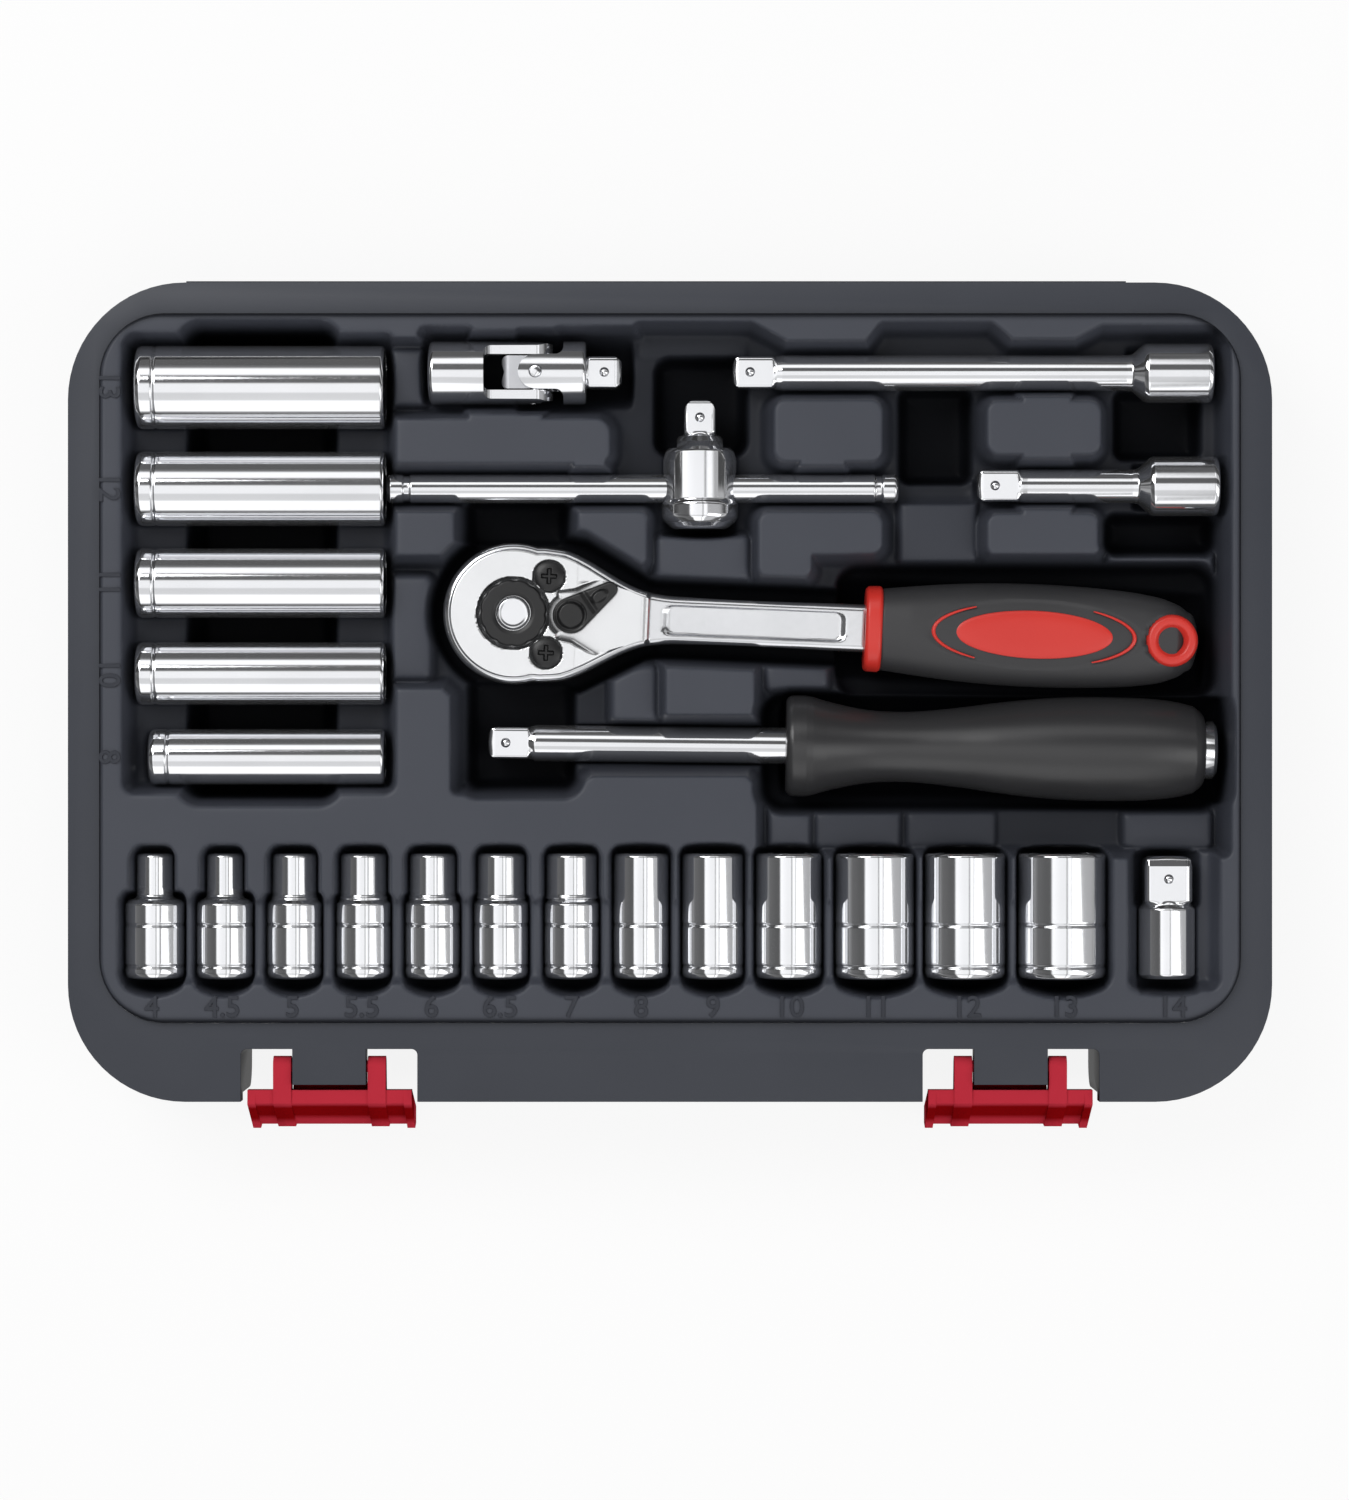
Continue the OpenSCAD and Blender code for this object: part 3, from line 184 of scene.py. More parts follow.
def shade_bands_by_height(mat, low, high, stops):
    """Paints shade: multiplies a plastic's colour by tones that change from height `low` to `high`
    (m).
    """
    tree = mat.node_tree
    shader = tree.nodes["Principled BSDF"]
    colour = shader.inputs["Base Color"].links[0].from_socket
    place = add(tree, "ShaderNodeTexCoord")
    split = add(tree, "ShaderNodeSeparateXYZ")
    level = add(tree, "ShaderNodeMapRange")
    level.inputs["From Min"].default_value = low
    level.inputs["From Max"].default_value = high
    wire(tree, place, "Object", split, 0)
    wire(tree, split, "Z", level, "Value")
    tones = colour_ramp(
        tree, level.outputs["Result"], [(at, (red, other, other)) for at, (red, other) in stops]
    )
    tree.links.new(times(tree, colour, tones), shader.inputs["Base Color"])
    return mat


STEEL_DRIFT, STEEL_METALLIC = 60.0, 0.95  # the last part is the milky haze of plating


def metal(name, tone, rough, spread, grain=900.0):
    """Plated steel whose polish varies a little from place to place."""
    mat, tree, shader = new_material(name, Metallic=STEEL_METALLIC)
    place = add(tree, "ShaderNodeTexCoord")
    noise = add(tree, "ShaderNodeTexNoise", Scale=grain, Detail=3.0)
    span = add(tree, "ShaderNodeMapRange")
    span.inputs["To Min"].default_value = rough
    span.inputs["To Max"].default_value = rough + spread
    wire(tree, place, "Object", noise, "Vector")
    wire(tree, noise, "Fac", span, "Value")
    wire(tree, span, "Result", shader, "Roughness")
    bright = [min(255, c + 14) for c in tone]
    tint = drifting(tree, place, tone, bright, STEEL_DRIFT, 2.0)
    tree.links.new(tint, shader.inputs["Base Color"])
    return mat


MATERIAL = {
    "case_plastic": moulded("case_plastic", (56, 59, 67), (63, 66, 74), 0.45, spec=0.35),
    # the latch's red carries painted shade by height: dark at its lower edge and in a band across
    # its upper part
    "latch_plastic": shade_bands_by_height(
        moulded("latch_plastic", (196, 50, 66), (206, 60, 76), 0.5, spec=0.0), 0.0075, 0.0265,
        [(0.0, (0.35, 0.3)), (0.06, (0.95, 0.9)), (0.36, (0.9, 0.75)), (0.52, (0.42, 0.06)),
         (0.84, (0.42, 0.06)), (0.93, (0.9, 0.8)), (1.0, (0.92, 0.85))],
    ),
    "black_steel": moulded("black_steel", (18, 18, 19), (30, 30, 32), 0.38),
    "black_lever": moulded("black_lever", (20, 20, 21), (30, 30, 31), 0.34),
    "handle_red": moulded("handle_red", (214, 48, 40), (226, 58, 48), 0.34),
    "handle_grey": moulded("handle_grey", (50, 50, 52), (58, 58, 60), 0.5),
    "spinner_plastic": moulded("spinner_plastic", (48, 48, 49), (58, 58, 60), 0.3),
    "tool_steel": metal("tool_steel", (190, 190, 192), 0.16, 0.12),
    "spring_steel": metal("spring_steel", (150, 150, 150), 0.25, 0.1),
    "plate_chrome": metal("plate_chrome", (228, 229, 231), 0.2, 0.05),
    "satin_chrome": metal("satin_chrome", (212, 213, 216), 0.12, 0.1),
    "chrome": metal("chrome", (222, 223, 226), 0.06, 0.06),
}
# both skins carry painted shade in their colour and sheen, read from the tone attribute
SHELL_SKIN = with_painted_shade(moulded("shell_skin", (56, 59, 67), (63, 66, 74), 0.45, spec=0.35))
TRAY_SKIN = with_painted_shade(moulded("tray_skin", (64, 67, 76), (71, 74, 83), 0.45, spec=0.35))
SLOT = {}
for name, obj in NODES.items():
    SLOT[name] = obj.data.materials[0].name.split(".")[0] if obj.data.materials else "chrome"
print(sorted(set(SLOT.values())))


# %% [markdown]
# ## Meshes
# The surfaces below start as loose sheets of faces. One helper makes a clean mesh of each.

# %% Merge, cap and turn outwards
def cleaned(data, merge=1e-7, cap=False, sharp=None):
    """Merges near points, caps open ends if asked, turns faces outwards, marks sharp edges."""
    mesh = bmesh.new()
    mesh.from_mesh(data)
    bmesh.ops.remove_doubles(mesh, verts=mesh.verts, dist=merge)
    ends = [e for e in mesh.edges if e.is_boundary]
    if cap and ends:
        bmesh.ops.holes_fill(mesh, edges=ends, sides=0)
    bmesh.ops.recalc_face_normals(mesh, faces=mesh.faces)
    mesh.to_mesh(data)
    mesh.free()
    if sharp:
        data.set_sharp_from_angle(angle=math.radians(sharp))
    return data


def flattened(node, name, drop=None):
    """A merged copy of a CAD node with whole flat faces and without the faces `drop` picks."""
    data = NODES[node].data.copy()
    data.name = name
    mesh = bmesh.new()
    mesh.from_mesh(data)
    bmesh.ops.remove_doubles(mesh, verts=mesh.verts, dist=2e-6)
    if drop:
        bmesh.ops.delete(mesh, geom=drop(mesh), context="FACES")
    bmesh.ops.dissolve_limit(
        mesh, angle_limit=math.radians(0.6), verts=mesh.verts, edges=mesh.edges
    )
    mesh.to_mesh(data)
    mesh.free()
    data.materials.clear()
    data.shade_smooth()
    return data


def evaluated(obj):
    """A mesh of the object as its modifiers or its curve leave it."""
    return bpy.data.meshes.new_from_object(
        obj.evaluated_get(bpy.context.evaluated_depsgraph_get())
    )


def round_edges(obj, radius, segments):
    """A bevel of that radius on the object's sharp edges."""
    bevel = obj.modifiers.new("edge", "BEVEL")
    bevel.width = radius
    bevel.segments = segments
    bevel.limit_method = "ANGLE"
    bevel.angle_limit = math.radians(30)
    bevel.harden_normals = True


def show(data, slot_name, body, *stands_for, mat=None):
    """Puts a mesh in the scene with its finish, on its body, in place of CAD nodes."""
    obj = bpy.data.objects.new(data.name, data)
    bpy.context.scene.collection.objects.link(obj)
    data.materials.append(mat or MATERIAL[slot_name])
    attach(obj, body)
    if stands_for:
        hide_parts(*stands_for)
    return obj


# %% [markdown]
# ## Rounded copies
# A CAD node comes as loose triangles. A merged copy can take a Bevel modifier,
# which gives its edges the small radius that catches the light.

# %% Dress the CAD nodes
EDGE_RADIUS, RIM_RADIUS = 0.0003, 0.0009


def rounded_copy(node):
    """A merged copy of a CAD node with small rounded edges."""
    obj = show(flattened(node, node + "_look"), SLOT[node], BODY[node], node)
    round_edges(obj, EDGE_RADIUS, 2)
    return obj


BEDS = ("socket_bed", "deep_socket_bed", "extension_bed", "handle_bed")
SOCKETS = [n for n in NODES if n.startswith(("socket_", "deep_socket_")) and n not in BEDS]
SHAPED = (
    "case_shell", "long_extension", "short_extension", "drive_adaptor", "tee_bar",
    "spinner_shaft", "spinner_grip", "ratchet_body", "cover_plate", "cover_screws",
    "direction_lever", "release_button", "dial_ring", "handle_core", "handle_grip",
    "joint_socket_yoke", "joint_drive_yoke", "joint_block", "tee_head", *BEDS, *SOCKETS,
)
dressed = {n: rounded_copy(n) for n in NODES if n not in SHAPED}
# the button's spring: its box is read and it gets a mesh of its own
low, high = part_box("button_spring")
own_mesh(dressed["button_spring"])
print(len(dressed), "nodes dressed as rounded copies")

# %% [markdown]
# ## The moulded tray
# The real tray is one blow-moulded skin: every wall leans, every rim and floor corner is round.
# Such a skin is a height for each place in plan, so it is one large table of heights.
# Each pocket gives the height that it would cut at every place, and the lowest one wins.
# A soft minimum rounds the rims where two of these heights cross.

# %% Signed distances and soft cuts
MM = 0.001
PANEL, FLANGE = 29.0, 27.0  # heights of the raised panel and of the rim round it
PANEL_PLAN = (-114.5, 114.5, -66.4, 76.0, 13.0)  # its x and y limits and its corners' radius
LEDGE, WELL, DEEP = 19.8, 13.0, 7.0  # floors: round the tools, in the wells, under deep sockets
TOOL, HANDLE = 23.0, 19.5  # heights of the axes of the small tools and of the two handles


def soft_box(x, y, x0, x1, y0, y1, r):
    """Distance to a rectangle with corners of radius r, negative inside it."""
    dx = np.abs(x - (x0 + x1) / 2) - (x1 - x0) / 2 + r
    dy = np.abs(y - (y0 + y1) / 2) - (y1 - y0) / 2 + r
    return np.hypot(np.maximum(dx, 0), np.maximum(dy, 0)) + np.minimum(np.maximum(dx, dy), 0) - r


def soft_outline(x, y, points):
    """Distance to a closed polygon, negative where a ray crosses an odd number of its edges."""
    near = np.full(x.shape, 1e9)
    inside = np.zeros(x.shape, bool)
    for (ax, ay), (bx, by) in zip(points, points[1:] + points[:1]):
        ex, ey = bx - ax, by - ay
        if math.hypot(ex, ey) < 1e-6:
            continue
        t = np.clip(((x - ax) * ex + (y - ay) * ey) / (ex * ex + ey * ey), 0, 1)
        near = np.minimum(near, np.hypot(x - ax - t * ex, y - ay - t * ey))
        if ay != by:
            inside ^= ((ay > y) != (by > y)) & (x < (y - ay) * ex / ey + ax)
    return np.where(inside, -near, near)


def lean(distance, slope=5.0, soft=0.7):
    """A wall that starts at distance 0 and rises with that slope out of a round floor corner."""
    return slope * (distance + np.sqrt(distance**2 + soft**2)) / 2


def lower(a, b, k=1.1):
    """The smaller of two heights, with the crease between them rounded over about k."""
    return (a + b - np.sqrt((a - b) ** 2 + k * k)) / 2


def higher(a, b, k=1.1):
    """The larger of two heights, rounded in the same way."""
    return (a + b + np.sqrt((a - b) ** 2 + k * k)) / 2


# %% Where the pockets lie
# the outline of the big recess round the ratchet and the drive tools
RECESS = [
    (-57.4, 69.4), (-49, 69.4), (-49, 71.8), (-41, 71.8), (-41, 70.9), (-22, 70.9), (-22, 71.8),
    (-6, 71.8), (-6, 72.6), (16, 72.6), (23, 68.8), (40, 68.8), (43, 72.6), (64, 72.6), (68, 69.2),
    (81.6, 69.2), (87, 72), (109.4, 72), (110.8, 70), (110.8, -31.6), (19, -31.6), (19, -18),
    (16, -15.2), (-16, -15.2), (-22, -19), (-42.4, -19), (-42.4, 0), (-45, 2.4), (-57.4, 2.4),
]
# pads left standing in the recess: x0, x1, y0, y1 and corner radius
PADS = [
    (-60, -10.4, 44.2, 56.4, 4.4), (-42, -24, 50, 57.4, 1.5), (-21, -11.4, 43.2, 50, 1.5),
    (19.2, 44.2, 44.6, 60.2, 4), (24.4, 36.6, 43.7, 50, 1.5),
    (61.8, 88, 46, 60, 4), (69, 82, 45.2, 60.9, 1.5),
    (61.8, 87.8, 25.4, 37.4, 4), (69, 82, 30, 38.4, 1.5),
    (-21.4, -3, 24, 37.8, 3), (16, 44.2, 26, 37.8, 4),
    (16, 30, 21, 37.8, 4), (-60, -40.8, 25.8, 37.8, 3),
    (-2.6, 18.6, -6.2, 8.4, 2), (7, 17, 0, 9.3, 1),
]
# ledges between the floor of the recess and the panel: x0, x1, y0, y1 and height
STEPS = [
    (-60, -49, 57.4, 69.4, 24), (-60, -48, 2.4, 23.6, 25), (-3, 16, 19, 31.6, 25.5),
    (46, 62, 25.8, 42.4, 23), (-12, -2.6, -6.2, 5.4, 25), (19, 32, 0.4, 9.4, 24),
    (19.6, 28.4, -31.6, -20.2, 24.5),
    (29, 46.6, -31.6, -21.6, 22.8), (47.4, 66, -31.6, -23.6, 21.8),
    (91, 109.4, -31.6, -23.6, 22.8),
    (88, 109.4, 18.4, 28.6, 24), (-7, 16, 66.8, 72.6, 20.6),
]
# finger wells: x0, x1, y0, y1, corner radius and floor
WELLS = [
    (-40.4, -21.4, 29.8, 38.4, 1.5, WELL), (-40, -20, -18.6, 2.4, 1.5, WELL),
    (-2.4, 14.8, 48.4, 66.8, 2.5, WELL), (47, 60, 42.8, 60.8, 1.5, WELL),
    (90.4, 106.4, 47.6, 60.4, 1.5, WELL), (88.6, 109, 28.8, 35.4, 1.5, WELL),
    (92.5, 109.4, -59, -29, 1.5, TOOL),
]
# radius of the hex end where it is slimmer than the drive end
NECK = {"socket_4": 3.7, "socket_4_5": 3.7, "socket_5": 4.45, "socket_5_5": 4.65,
        "socket_6": 4.65, "socket_6_5": 4.8, "socket_7": 5.15}


def span(node):
    """A node's box in mm: x0, x1, y0, y1."""
    lo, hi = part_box(node)
    return lo[0] / MM, hi[0] / MM, lo[1] / MM, hi[1] / MM


def trough(across, along, radius, start, end, axis_z, gap=0.75, r=1.2):
    """A round-bottomed channel: the circle's lower half in section, leaning walls beyond it."""
    wall = radius + gap
    sunk = axis_z - np.sqrt(np.maximum((radius + 0.35) ** 2 - across**2, 0))
    plan = soft_box(along, across, start, end, -wall, wall, r)
    return sunk + lean(plan, 9.0, 0.4)


GEAR, TURN = (-31.5, 15.9), -2.4  # the ratchet's gear in plan, and the turn of its handle
SPINNER, SPINNER_TURN = (-36.6, -10.1), -0.6  # the tip of the spinner's shaft and its turn
JOINT_Y, TEE_BAR_Y = 64.3, 41.0  # the axes of the universal joint and of the tee's bar


def turned_frame(x, y, place, degrees):
    """Places along and across a tool whose axis starts at `place`, turned by that angle."""
    c, s = math.cos(math.radians(degrees)), math.sin(math.radians(degrees))
    dx, dy = x - place[0], y - place[1]
    return dx * c + dy * s, dy * c - dx * s


# %% The height of the tray at every place
def recess_height(x, y):
    """The panel with the big recess, its pads and ledges, and the finger wells."""
    z = np.full(x.shape, PANEL)
    recess = soft_outline(x, y, RECESS)
    for x0, x1, y0, y1, r in PADS:
        recess = np.maximum(recess, -soft_box(x, y, x0, x1, y0, y1, r))
    z = lower(z, LEDGE + lean(recess + 0.3, 4.5, 0.6), 0.6)
    for x0, x1, y0, y1, top in STEPS:
        ledge = top - lean(soft_box(x, y, x0, x1, y0, y1, 1.5) + 0.2, 4.0, 0.5)
        z = np.where(recess < 0.4, higher(z, np.minimum(ledge, z + 9), 0.5), z)
    for x0, x1, y0, y1, r, floor in WELLS:
        z = lower(z, floor + lean(soft_box(x, y, x0, x1, y0, y1, r) + 0.3))
    return z


def socket_pockets(x, y, z):
    """The heights `z` with the sockets' pockets, the standard ones with hex ends to the back."""
    for name in SOCKETS:
        if not name.startswith("deep"):
            x0, x1, y0, y1 = span(name)
            mid, radius = (x0 + x1) / 2, (x1 - x0) / 2
            neck = NECK.get(name, radius)
            top = y1 + 0.9 if neck == radius else y1 - 8.2
            front = y0 - 2.2 + 1.5 * np.clip((x - mid) / radius, -1.3, 1.3) ** 2
            z = lower(z, trough(x - mid, y, radius, front, top, TOOL, 0.45, 1.6), 0.7)
            if neck != radius:
                z = lower(z, trough(x - mid, y, neck, y0 + 2, y1 + 0.9, TOOL, 0.45, 2.0), 0.7)
    z = lower(z, PANEL - 3 + lean(soft_box(x, y, -109.5, 87.5, -58.2, -41.8, 1.5) + 0.3))
    # deep sockets: a well with two lower cradles and a deep middle
    z = lower(z, TOOL - 3 + lean(soft_box(x, y, -108.3, -56.5, -18.9, 70.6, 1.0) + 0.2))
    z = lower(z, DEEP + lean(soft_box(x, y, -95.3, -69.5, -18.9, 70.6, 1.2) + 0.3))
    for name in SOCKETS:
        if name.startswith("deep"):
            x0, x1, y0, y1 = span(name)
            mid, radius = (y0 + y1) / 2, (y1 - y0) / 2
            z = lower(z, trough(y - mid, x, radius, x0 - 0.9, x1 + 0.9, TOOL), 0.7)
    return z


def tool_pockets(x, y, z):
    """The heights `z` with the troughs of the adaptor, the extensions, the joint and the tee."""
    x0, x1, y0, y1 = span("drive_adaptor")
    mid = (x0 + x1) / 2
    z = lower(z, trough(x - mid, y, 5.7, y0 - 1.9, y0 + 15.2, TOOL), 0.7)
    z = lower(z, trough(x - mid, y, 6.3, y0 + 14.6, y0 + 25.6, TOOL), 0.7)
    for name, radius in (("long_extension", 3.6), ("short_extension", 3.4)):
        x0, x1, y0, y1 = span(name)
        mid = (y0 + y1) / 2
        z = lower(z, trough(y - mid, x, 6.0, x1 - 17.1, x1 + 0.9, TOOL), 0.7)
        z = lower(z, trough(y - mid, x, radius, x0 - 0.9, x1, TOOL), 0.7)
    z = lower(z, trough(y - JOINT_Y, x, 6.4, -49.5, -7.7, TOOL), 0.7)
    z = lower(z, trough(y - JOINT_Y, x, 7.4, -31, -7.7, TOOL), 0.7)
    z = lower(z, trough(x - 6.0, y, 7.7, 31.9, 60.7, TOOL), 0.7)
    z = lower(z, trough(y - TEE_BAR_Y, x, 2.9, -57.9, 61.4, TOOL), 0.7)
    return z


def handle_pockets(x, y, z):
    """The heights `z` with the ratchet's seat, drive well, shank and grip, and the spinner's."""
    u, v = turned_frame(x, y, GEAR, TURN)
    head = np.hypot(u, v) - 16.0
    cone = np.maximum(np.abs(v) - np.interp(u, [10, 14, 27, 29], [15.2, 14.6, 7.4, 7.0]), -u)
    head = np.minimum(head, np.maximum(cone, u - 29))
    z = lower(z, 14.2 + lean(head, 6.0, 0.5))
    z = lower(z, 5.6 + lean(np.hypot(u, v) - 7.0, 6.0, 0.5))
    z = lower(z, 14.9 + lean(soft_box(u, v, 20, 70.8, -7.2, 7.2, 0.5), 6.0, 0.5))
    z = lower(z, trough(v, u, 10.4, 65.8, 139.4, HANDLE))
    z = lower(z, 15 + lean(soft_box(x, y, 34, 109.6, -1, 25.2, 4) + 0.3))
    u, v = turned_frame(x, y, SPINNER, SPINNER_TURN)
    z = lower(z, trough(v, u, 3.7, -0.9, 62.4, HANDLE), 0.7)
    z = lower(z, trough(v, u, 10.5, 59.4, 147.7, HANDLE))
    return lower(z, 14.8 + lean(soft_box(x, y, 19, 110.8, -23.2, -0.6, 4) + 0.3))


def tray_height(x, y):
    """Height in mm over plan position in mm: the lowest of the panel and of every pocket."""
    z = recess_height(x, y)
    for cut in (socket_pockets, tool_pockets, handle_pockets):
        z = cut(x, y, z)
    return z


def panel_edge(x, y):
    """The panel's rim: heights sink from the panel to the flange over its last millimetre."""
    inward = np.clip(-soft_box(x, y, *PANEL_PLAN) / 1.1, 0, 1)
    return FLANGE - 0.6 + np.sqrt(np.clip(1 - (1 - inward) ** 2, 0, 1)) * (PANEL - FLANGE + 0.6)


# %% Sheets of the tray's skin
def sheet_mesh(name, px, py, pz):
    """A mesh from three equal tables of coordinates, each cell of the table one face."""
    rows, cols = px.shape
    points = np.stack([px, py, pz], -1).reshape(-1, 3)
    at = np.arange(rows * cols).reshape(rows, cols)
    quads = np.stack([at[:-1, :-1], at[:-1, 1:], at[1:, 1:], at[1:, :-1]], -1).reshape(-1, 4)
    data = bpy.data.meshes.new(name)
    data.vertices.add(len(points))
    data.vertices.foreach_set("co", points.ravel())
    data.loops.add(quads.size)
    data.loops.foreach_set("vertex_index", quads.ravel())
    data.polygons.add(len(quads))
    data.polygons.foreach_set("loop_start", np.arange(0, quads.size, 4))
    data.update(calc_edges=True)
    data.shade_smooth()
    return data


def store_painted_shade(data, values, domain="POINT"):
    """Stores the painted shade: how much of its colour each point or face of a moulding keeps."""
    data.attributes.new("tone", "FLOAT", domain).data.foreach_set("value", values.ravel())


def tray_shade_painting(x, y, z):
    """Painted shade: how much of its colour the skin keeps, little in the wells and in a dark line
    round the panel.
    """
    # painted shade in the wells: the lower the floor, the darker
    rise = np.clip((z - 16.0) / 10.5, 0, 1)
    # a painted shadow line along the panel's rounded rim, fainter and narrower at its left and
    # right ends
    edge = -soft_box(x, y, *PANEL_PLAN)
    side = np.clip((np.abs(x) - 108.0) / 4.0, 0, 1)
    off_line = (edge - 0.35 + 0.2 * side) / (0.75 - 0.25 * side)
    line = (0.72 - 0.1 * side) * np.exp(-(off_line**2))
    return (0.08 + 0.92 * rise * rise * (3 - 2 * rise)) * (1 - line)


CELL = 0.36  # mm between the skin's points
_, reach, front, back, corner = PANEL_PLAN
for part in range(4):
    left = part / 2 - 1
    rows = np.linspace(front, back, round((back - front) / CELL))
    cols = np.linspace(left, left + 0.5, round(reach / 2 / CELL))
    yy, uu = np.meshgrid(rows, cols, indexing="ij")
    past = np.maximum(np.maximum(yy - back + corner, front + corner - yy), 0)
    xx = uu * (reach - corner + np.sqrt(np.maximum(corner**2 - past**2, 0)))
    zz = np.minimum(tray_height(xx, yy), panel_edge(xx, yy))
    data = sheet_mesh(f"tray_skin_{part + 1}", xx * MM, yy * MM, zz * MM)
    # painted shade in the skin's colour and sheen: the wells and the line round the panel
    store_painted_shade(data, tray_shade_painting(xx, yy, zz))
    show(data, "case_plastic", "case", *BEDS, mat=TRAY_SKIN)
print("tray skin in 4 sheets of", xx.size, "points")

# %% [markdown]
# The rim, the sides, the underside and the latch tabs are plain moulded faces.
# They come from the CAD tray itself: a merged copy, opened where the sheets lie.

# %% Rim, sides and underside
LATCH_X, CUT_HALF, CUT_DEEP = 68.4, 18.6, 11.5  # where the latch cut-outs lie, from the middle
SHADE = 0.12


def under_sheets(mesh):
    """The faces of the hollow that the sheets cover."""
    co = np.array([v.co[:] for v in mesh.verts]) / MM
    inner = (soft_box(co[:, 0], co[:, 1], *PANEL_PLAN) < 0.06) & (co[:, 2] > 4)
    return [f for f in mesh.faces if all(inner[v.index] for v in f.verts)]


def cutout_walls(data):
    """Which faces are upright walls inside the latch cut-outs, where little light falls."""
    middle, normal = np.empty(len(data.polygons) * 3), np.empty(len(data.polygons) * 3)
    data.polygons.foreach_get("center", middle)
    data.polygons.foreach_get("normal", normal)
    x, y, _ = middle.reshape(-1, 3).T / MM
    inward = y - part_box("case_shell")[0][1] / MM
    steep = np.abs(normal[2::3]) < 0.5
    beside = np.abs(np.abs(x) - LATCH_X) < CUT_HALF
    return steep & beside & (inward > 0.4) & (inward < CUT_DEEP)


data = flattened("case_shell", "tray_shell", under_sheets)
# painted shade: the upright walls in the latch cut-outs keep only SHADE of their colour and sheen
store_painted_shade(data, np.where(cutout_walls(data), SHADE, 1.0), "FACE")
round_edges(show(data, "case_plastic", "case", "case_shell", mat=SHELL_SKIN), RIM_RADIUS, 3)
print("tray shell of", len(data.polygons), "faces")

# %% [markdown]
# The sizes of the sockets stand on the panel in low moulded figures, one beside each pocket.

# %% Moulded figures
FIGURE_SIZE, FIGURE_RISE, FIGURE_EDGE = 5.934, 0.22, 0.09


def figures(text, x, y, turn):
    """A few digits as low solid letters, centred at (x, y) mm and turned by that angle."""
    curve = bpy.data.curves.new("figures", "FONT")
    curve.body = text
    curve.size = FIGURE_SIZE * MM
    curve.extrude = FIGURE_RISE * MM
    curve.bevel_depth = FIGURE_EDGE * MM
    curve.bevel_resolution = 1
    curve.align_x = "CENTER"
    curve.align_y = "CENTER"
    holder = bpy.data.objects.new("figures", curve)
    bpy.context.scene.collection.objects.link(holder)
    data = evaluated(holder)
    bpy.data.objects.remove(holder)
    turned = Matrix.Rotation(math.radians(turn), 4, "Z")
    data.transform(Matrix.Translation((x * MM, y * MM, PANEL * MM)) @ turned)
    return data


def size_of(name):
    """A socket's size in millimetres as its figures say it."""
    return name.replace("deep_", "").replace("socket_", "").replace("_", ".")


FRONT_ROW, SIDE_ROW = -63.2, -112.4
MARKS = []
for name in SOCKETS:
    x0, x1, y0, y1 = span(name)
    if name.startswith("deep"):
        MARKS.append((size_of(name), SIDE_ROW, (y0 + y1) / 2, -90))
    else:
        MARKS.append((size_of(name), (x0 + x1) / 2, FRONT_ROW, 0))
MARKS.append(("14", 100.6, FRONT_ROW, 0))  # beside the spare pocket
mesh = bmesh.new()
for mark in MARKS:
    mesh.from_mesh(figures(*mark))
data = bpy.data.meshes.new("size_figures")
bmesh.ops.remove_doubles(mesh, verts=mesh.verts, dist=1e-7)
mesh.to_mesh(data)
mesh.free()
# painted shade: the figures keep 0.66 of the skin's colour and sheen, darker than the panel round
# them
store_painted_shade(data, np.full(len(data.vertices), 0.66))
show(data, "case_plastic", "case", mat=TRAY_SKIN)
print(len(MARKS), "sizes moulded in", len(data.polygons), "faces")

# %% [markdown]
# ## Turned tools
# Sockets, extensions and bars are turned on a lathe. Squares and hexagons are pressed in.
# Each is one profile carried round an axis. A station of the profile has its place along the
# axis and its radius, and where its ring is a polygon it adds how far and with how many sides.

# %% Profiles and the lathe
ROUND, SQUARE, HEX = (0, 4), (1, 4), (1, 6)


def held(stations, near=0.12, run=0.9):
    """Extra stations just inside both ends of each long run, which keep its shading straight."""
    out = [stations[0]]
    for a, b in zip(stations, stations[1:]):
        length = np.hypot(*(b - a)[:2])
        if length > run and abs(a[2] - b[2]) < 1e-6:
            out += [a + (b - a) * near / length, b - (b - a) * near / length]
        out.append(b)
    return np.array(out)


def eased(profile, radius=0.25, steps=3):
    """The profile with each corner replaced by a short parabola that starts `radius` before it."""
    rows = [np.array([*p, *ROUND] if len(p) == 2 else p, float) for p in profile]
    out = [rows[0]]
    for before, here, after in zip(rows, rows[1:], rows[2:]):
        a, b = before[:2] - here[:2], after[:2] - here[:2]
        la, lb = np.hypot(*a), np.hypot(*b)
        if la < 1e-6 or lb < 1e-6 or abs(a @ b + la * lb) < 0.02 * la * lb:
            out.append(here)
            continue
        start = here + (before - here) * min(radius / la, 0.45)
        stop = here + (after - here) * min(radius / lb, 0.45)
        for t in np.linspace(0, 1, steps + 1):
            point = (1 - t) ** 2 * start + 2 * t * (1 - t) * here + t * t * stop
            point[3] = here[3]
            out.append(point)
    out.append(rows[-1])
    return held(np.array(out))


def rings(stations, sides, cap):
    """Radius at every station and angle: a circle, or a polygon with its corners cut at `cap`."""
    theta = (np.arange(sides) + 0.5) / sides * 2 * np.pi
    s, r, share, corners = stations.T[:, :, None]
    step = 2 * np.pi / corners
    poly = r / np.cos((theta + step / 2) % step - step / 2)
    poly = np.minimum(poly, np.where(r * 1.02 < cap, cap, 1e3))
    return s + 0 * theta, (1 - share) * r + share * poly, theta + 0 * s


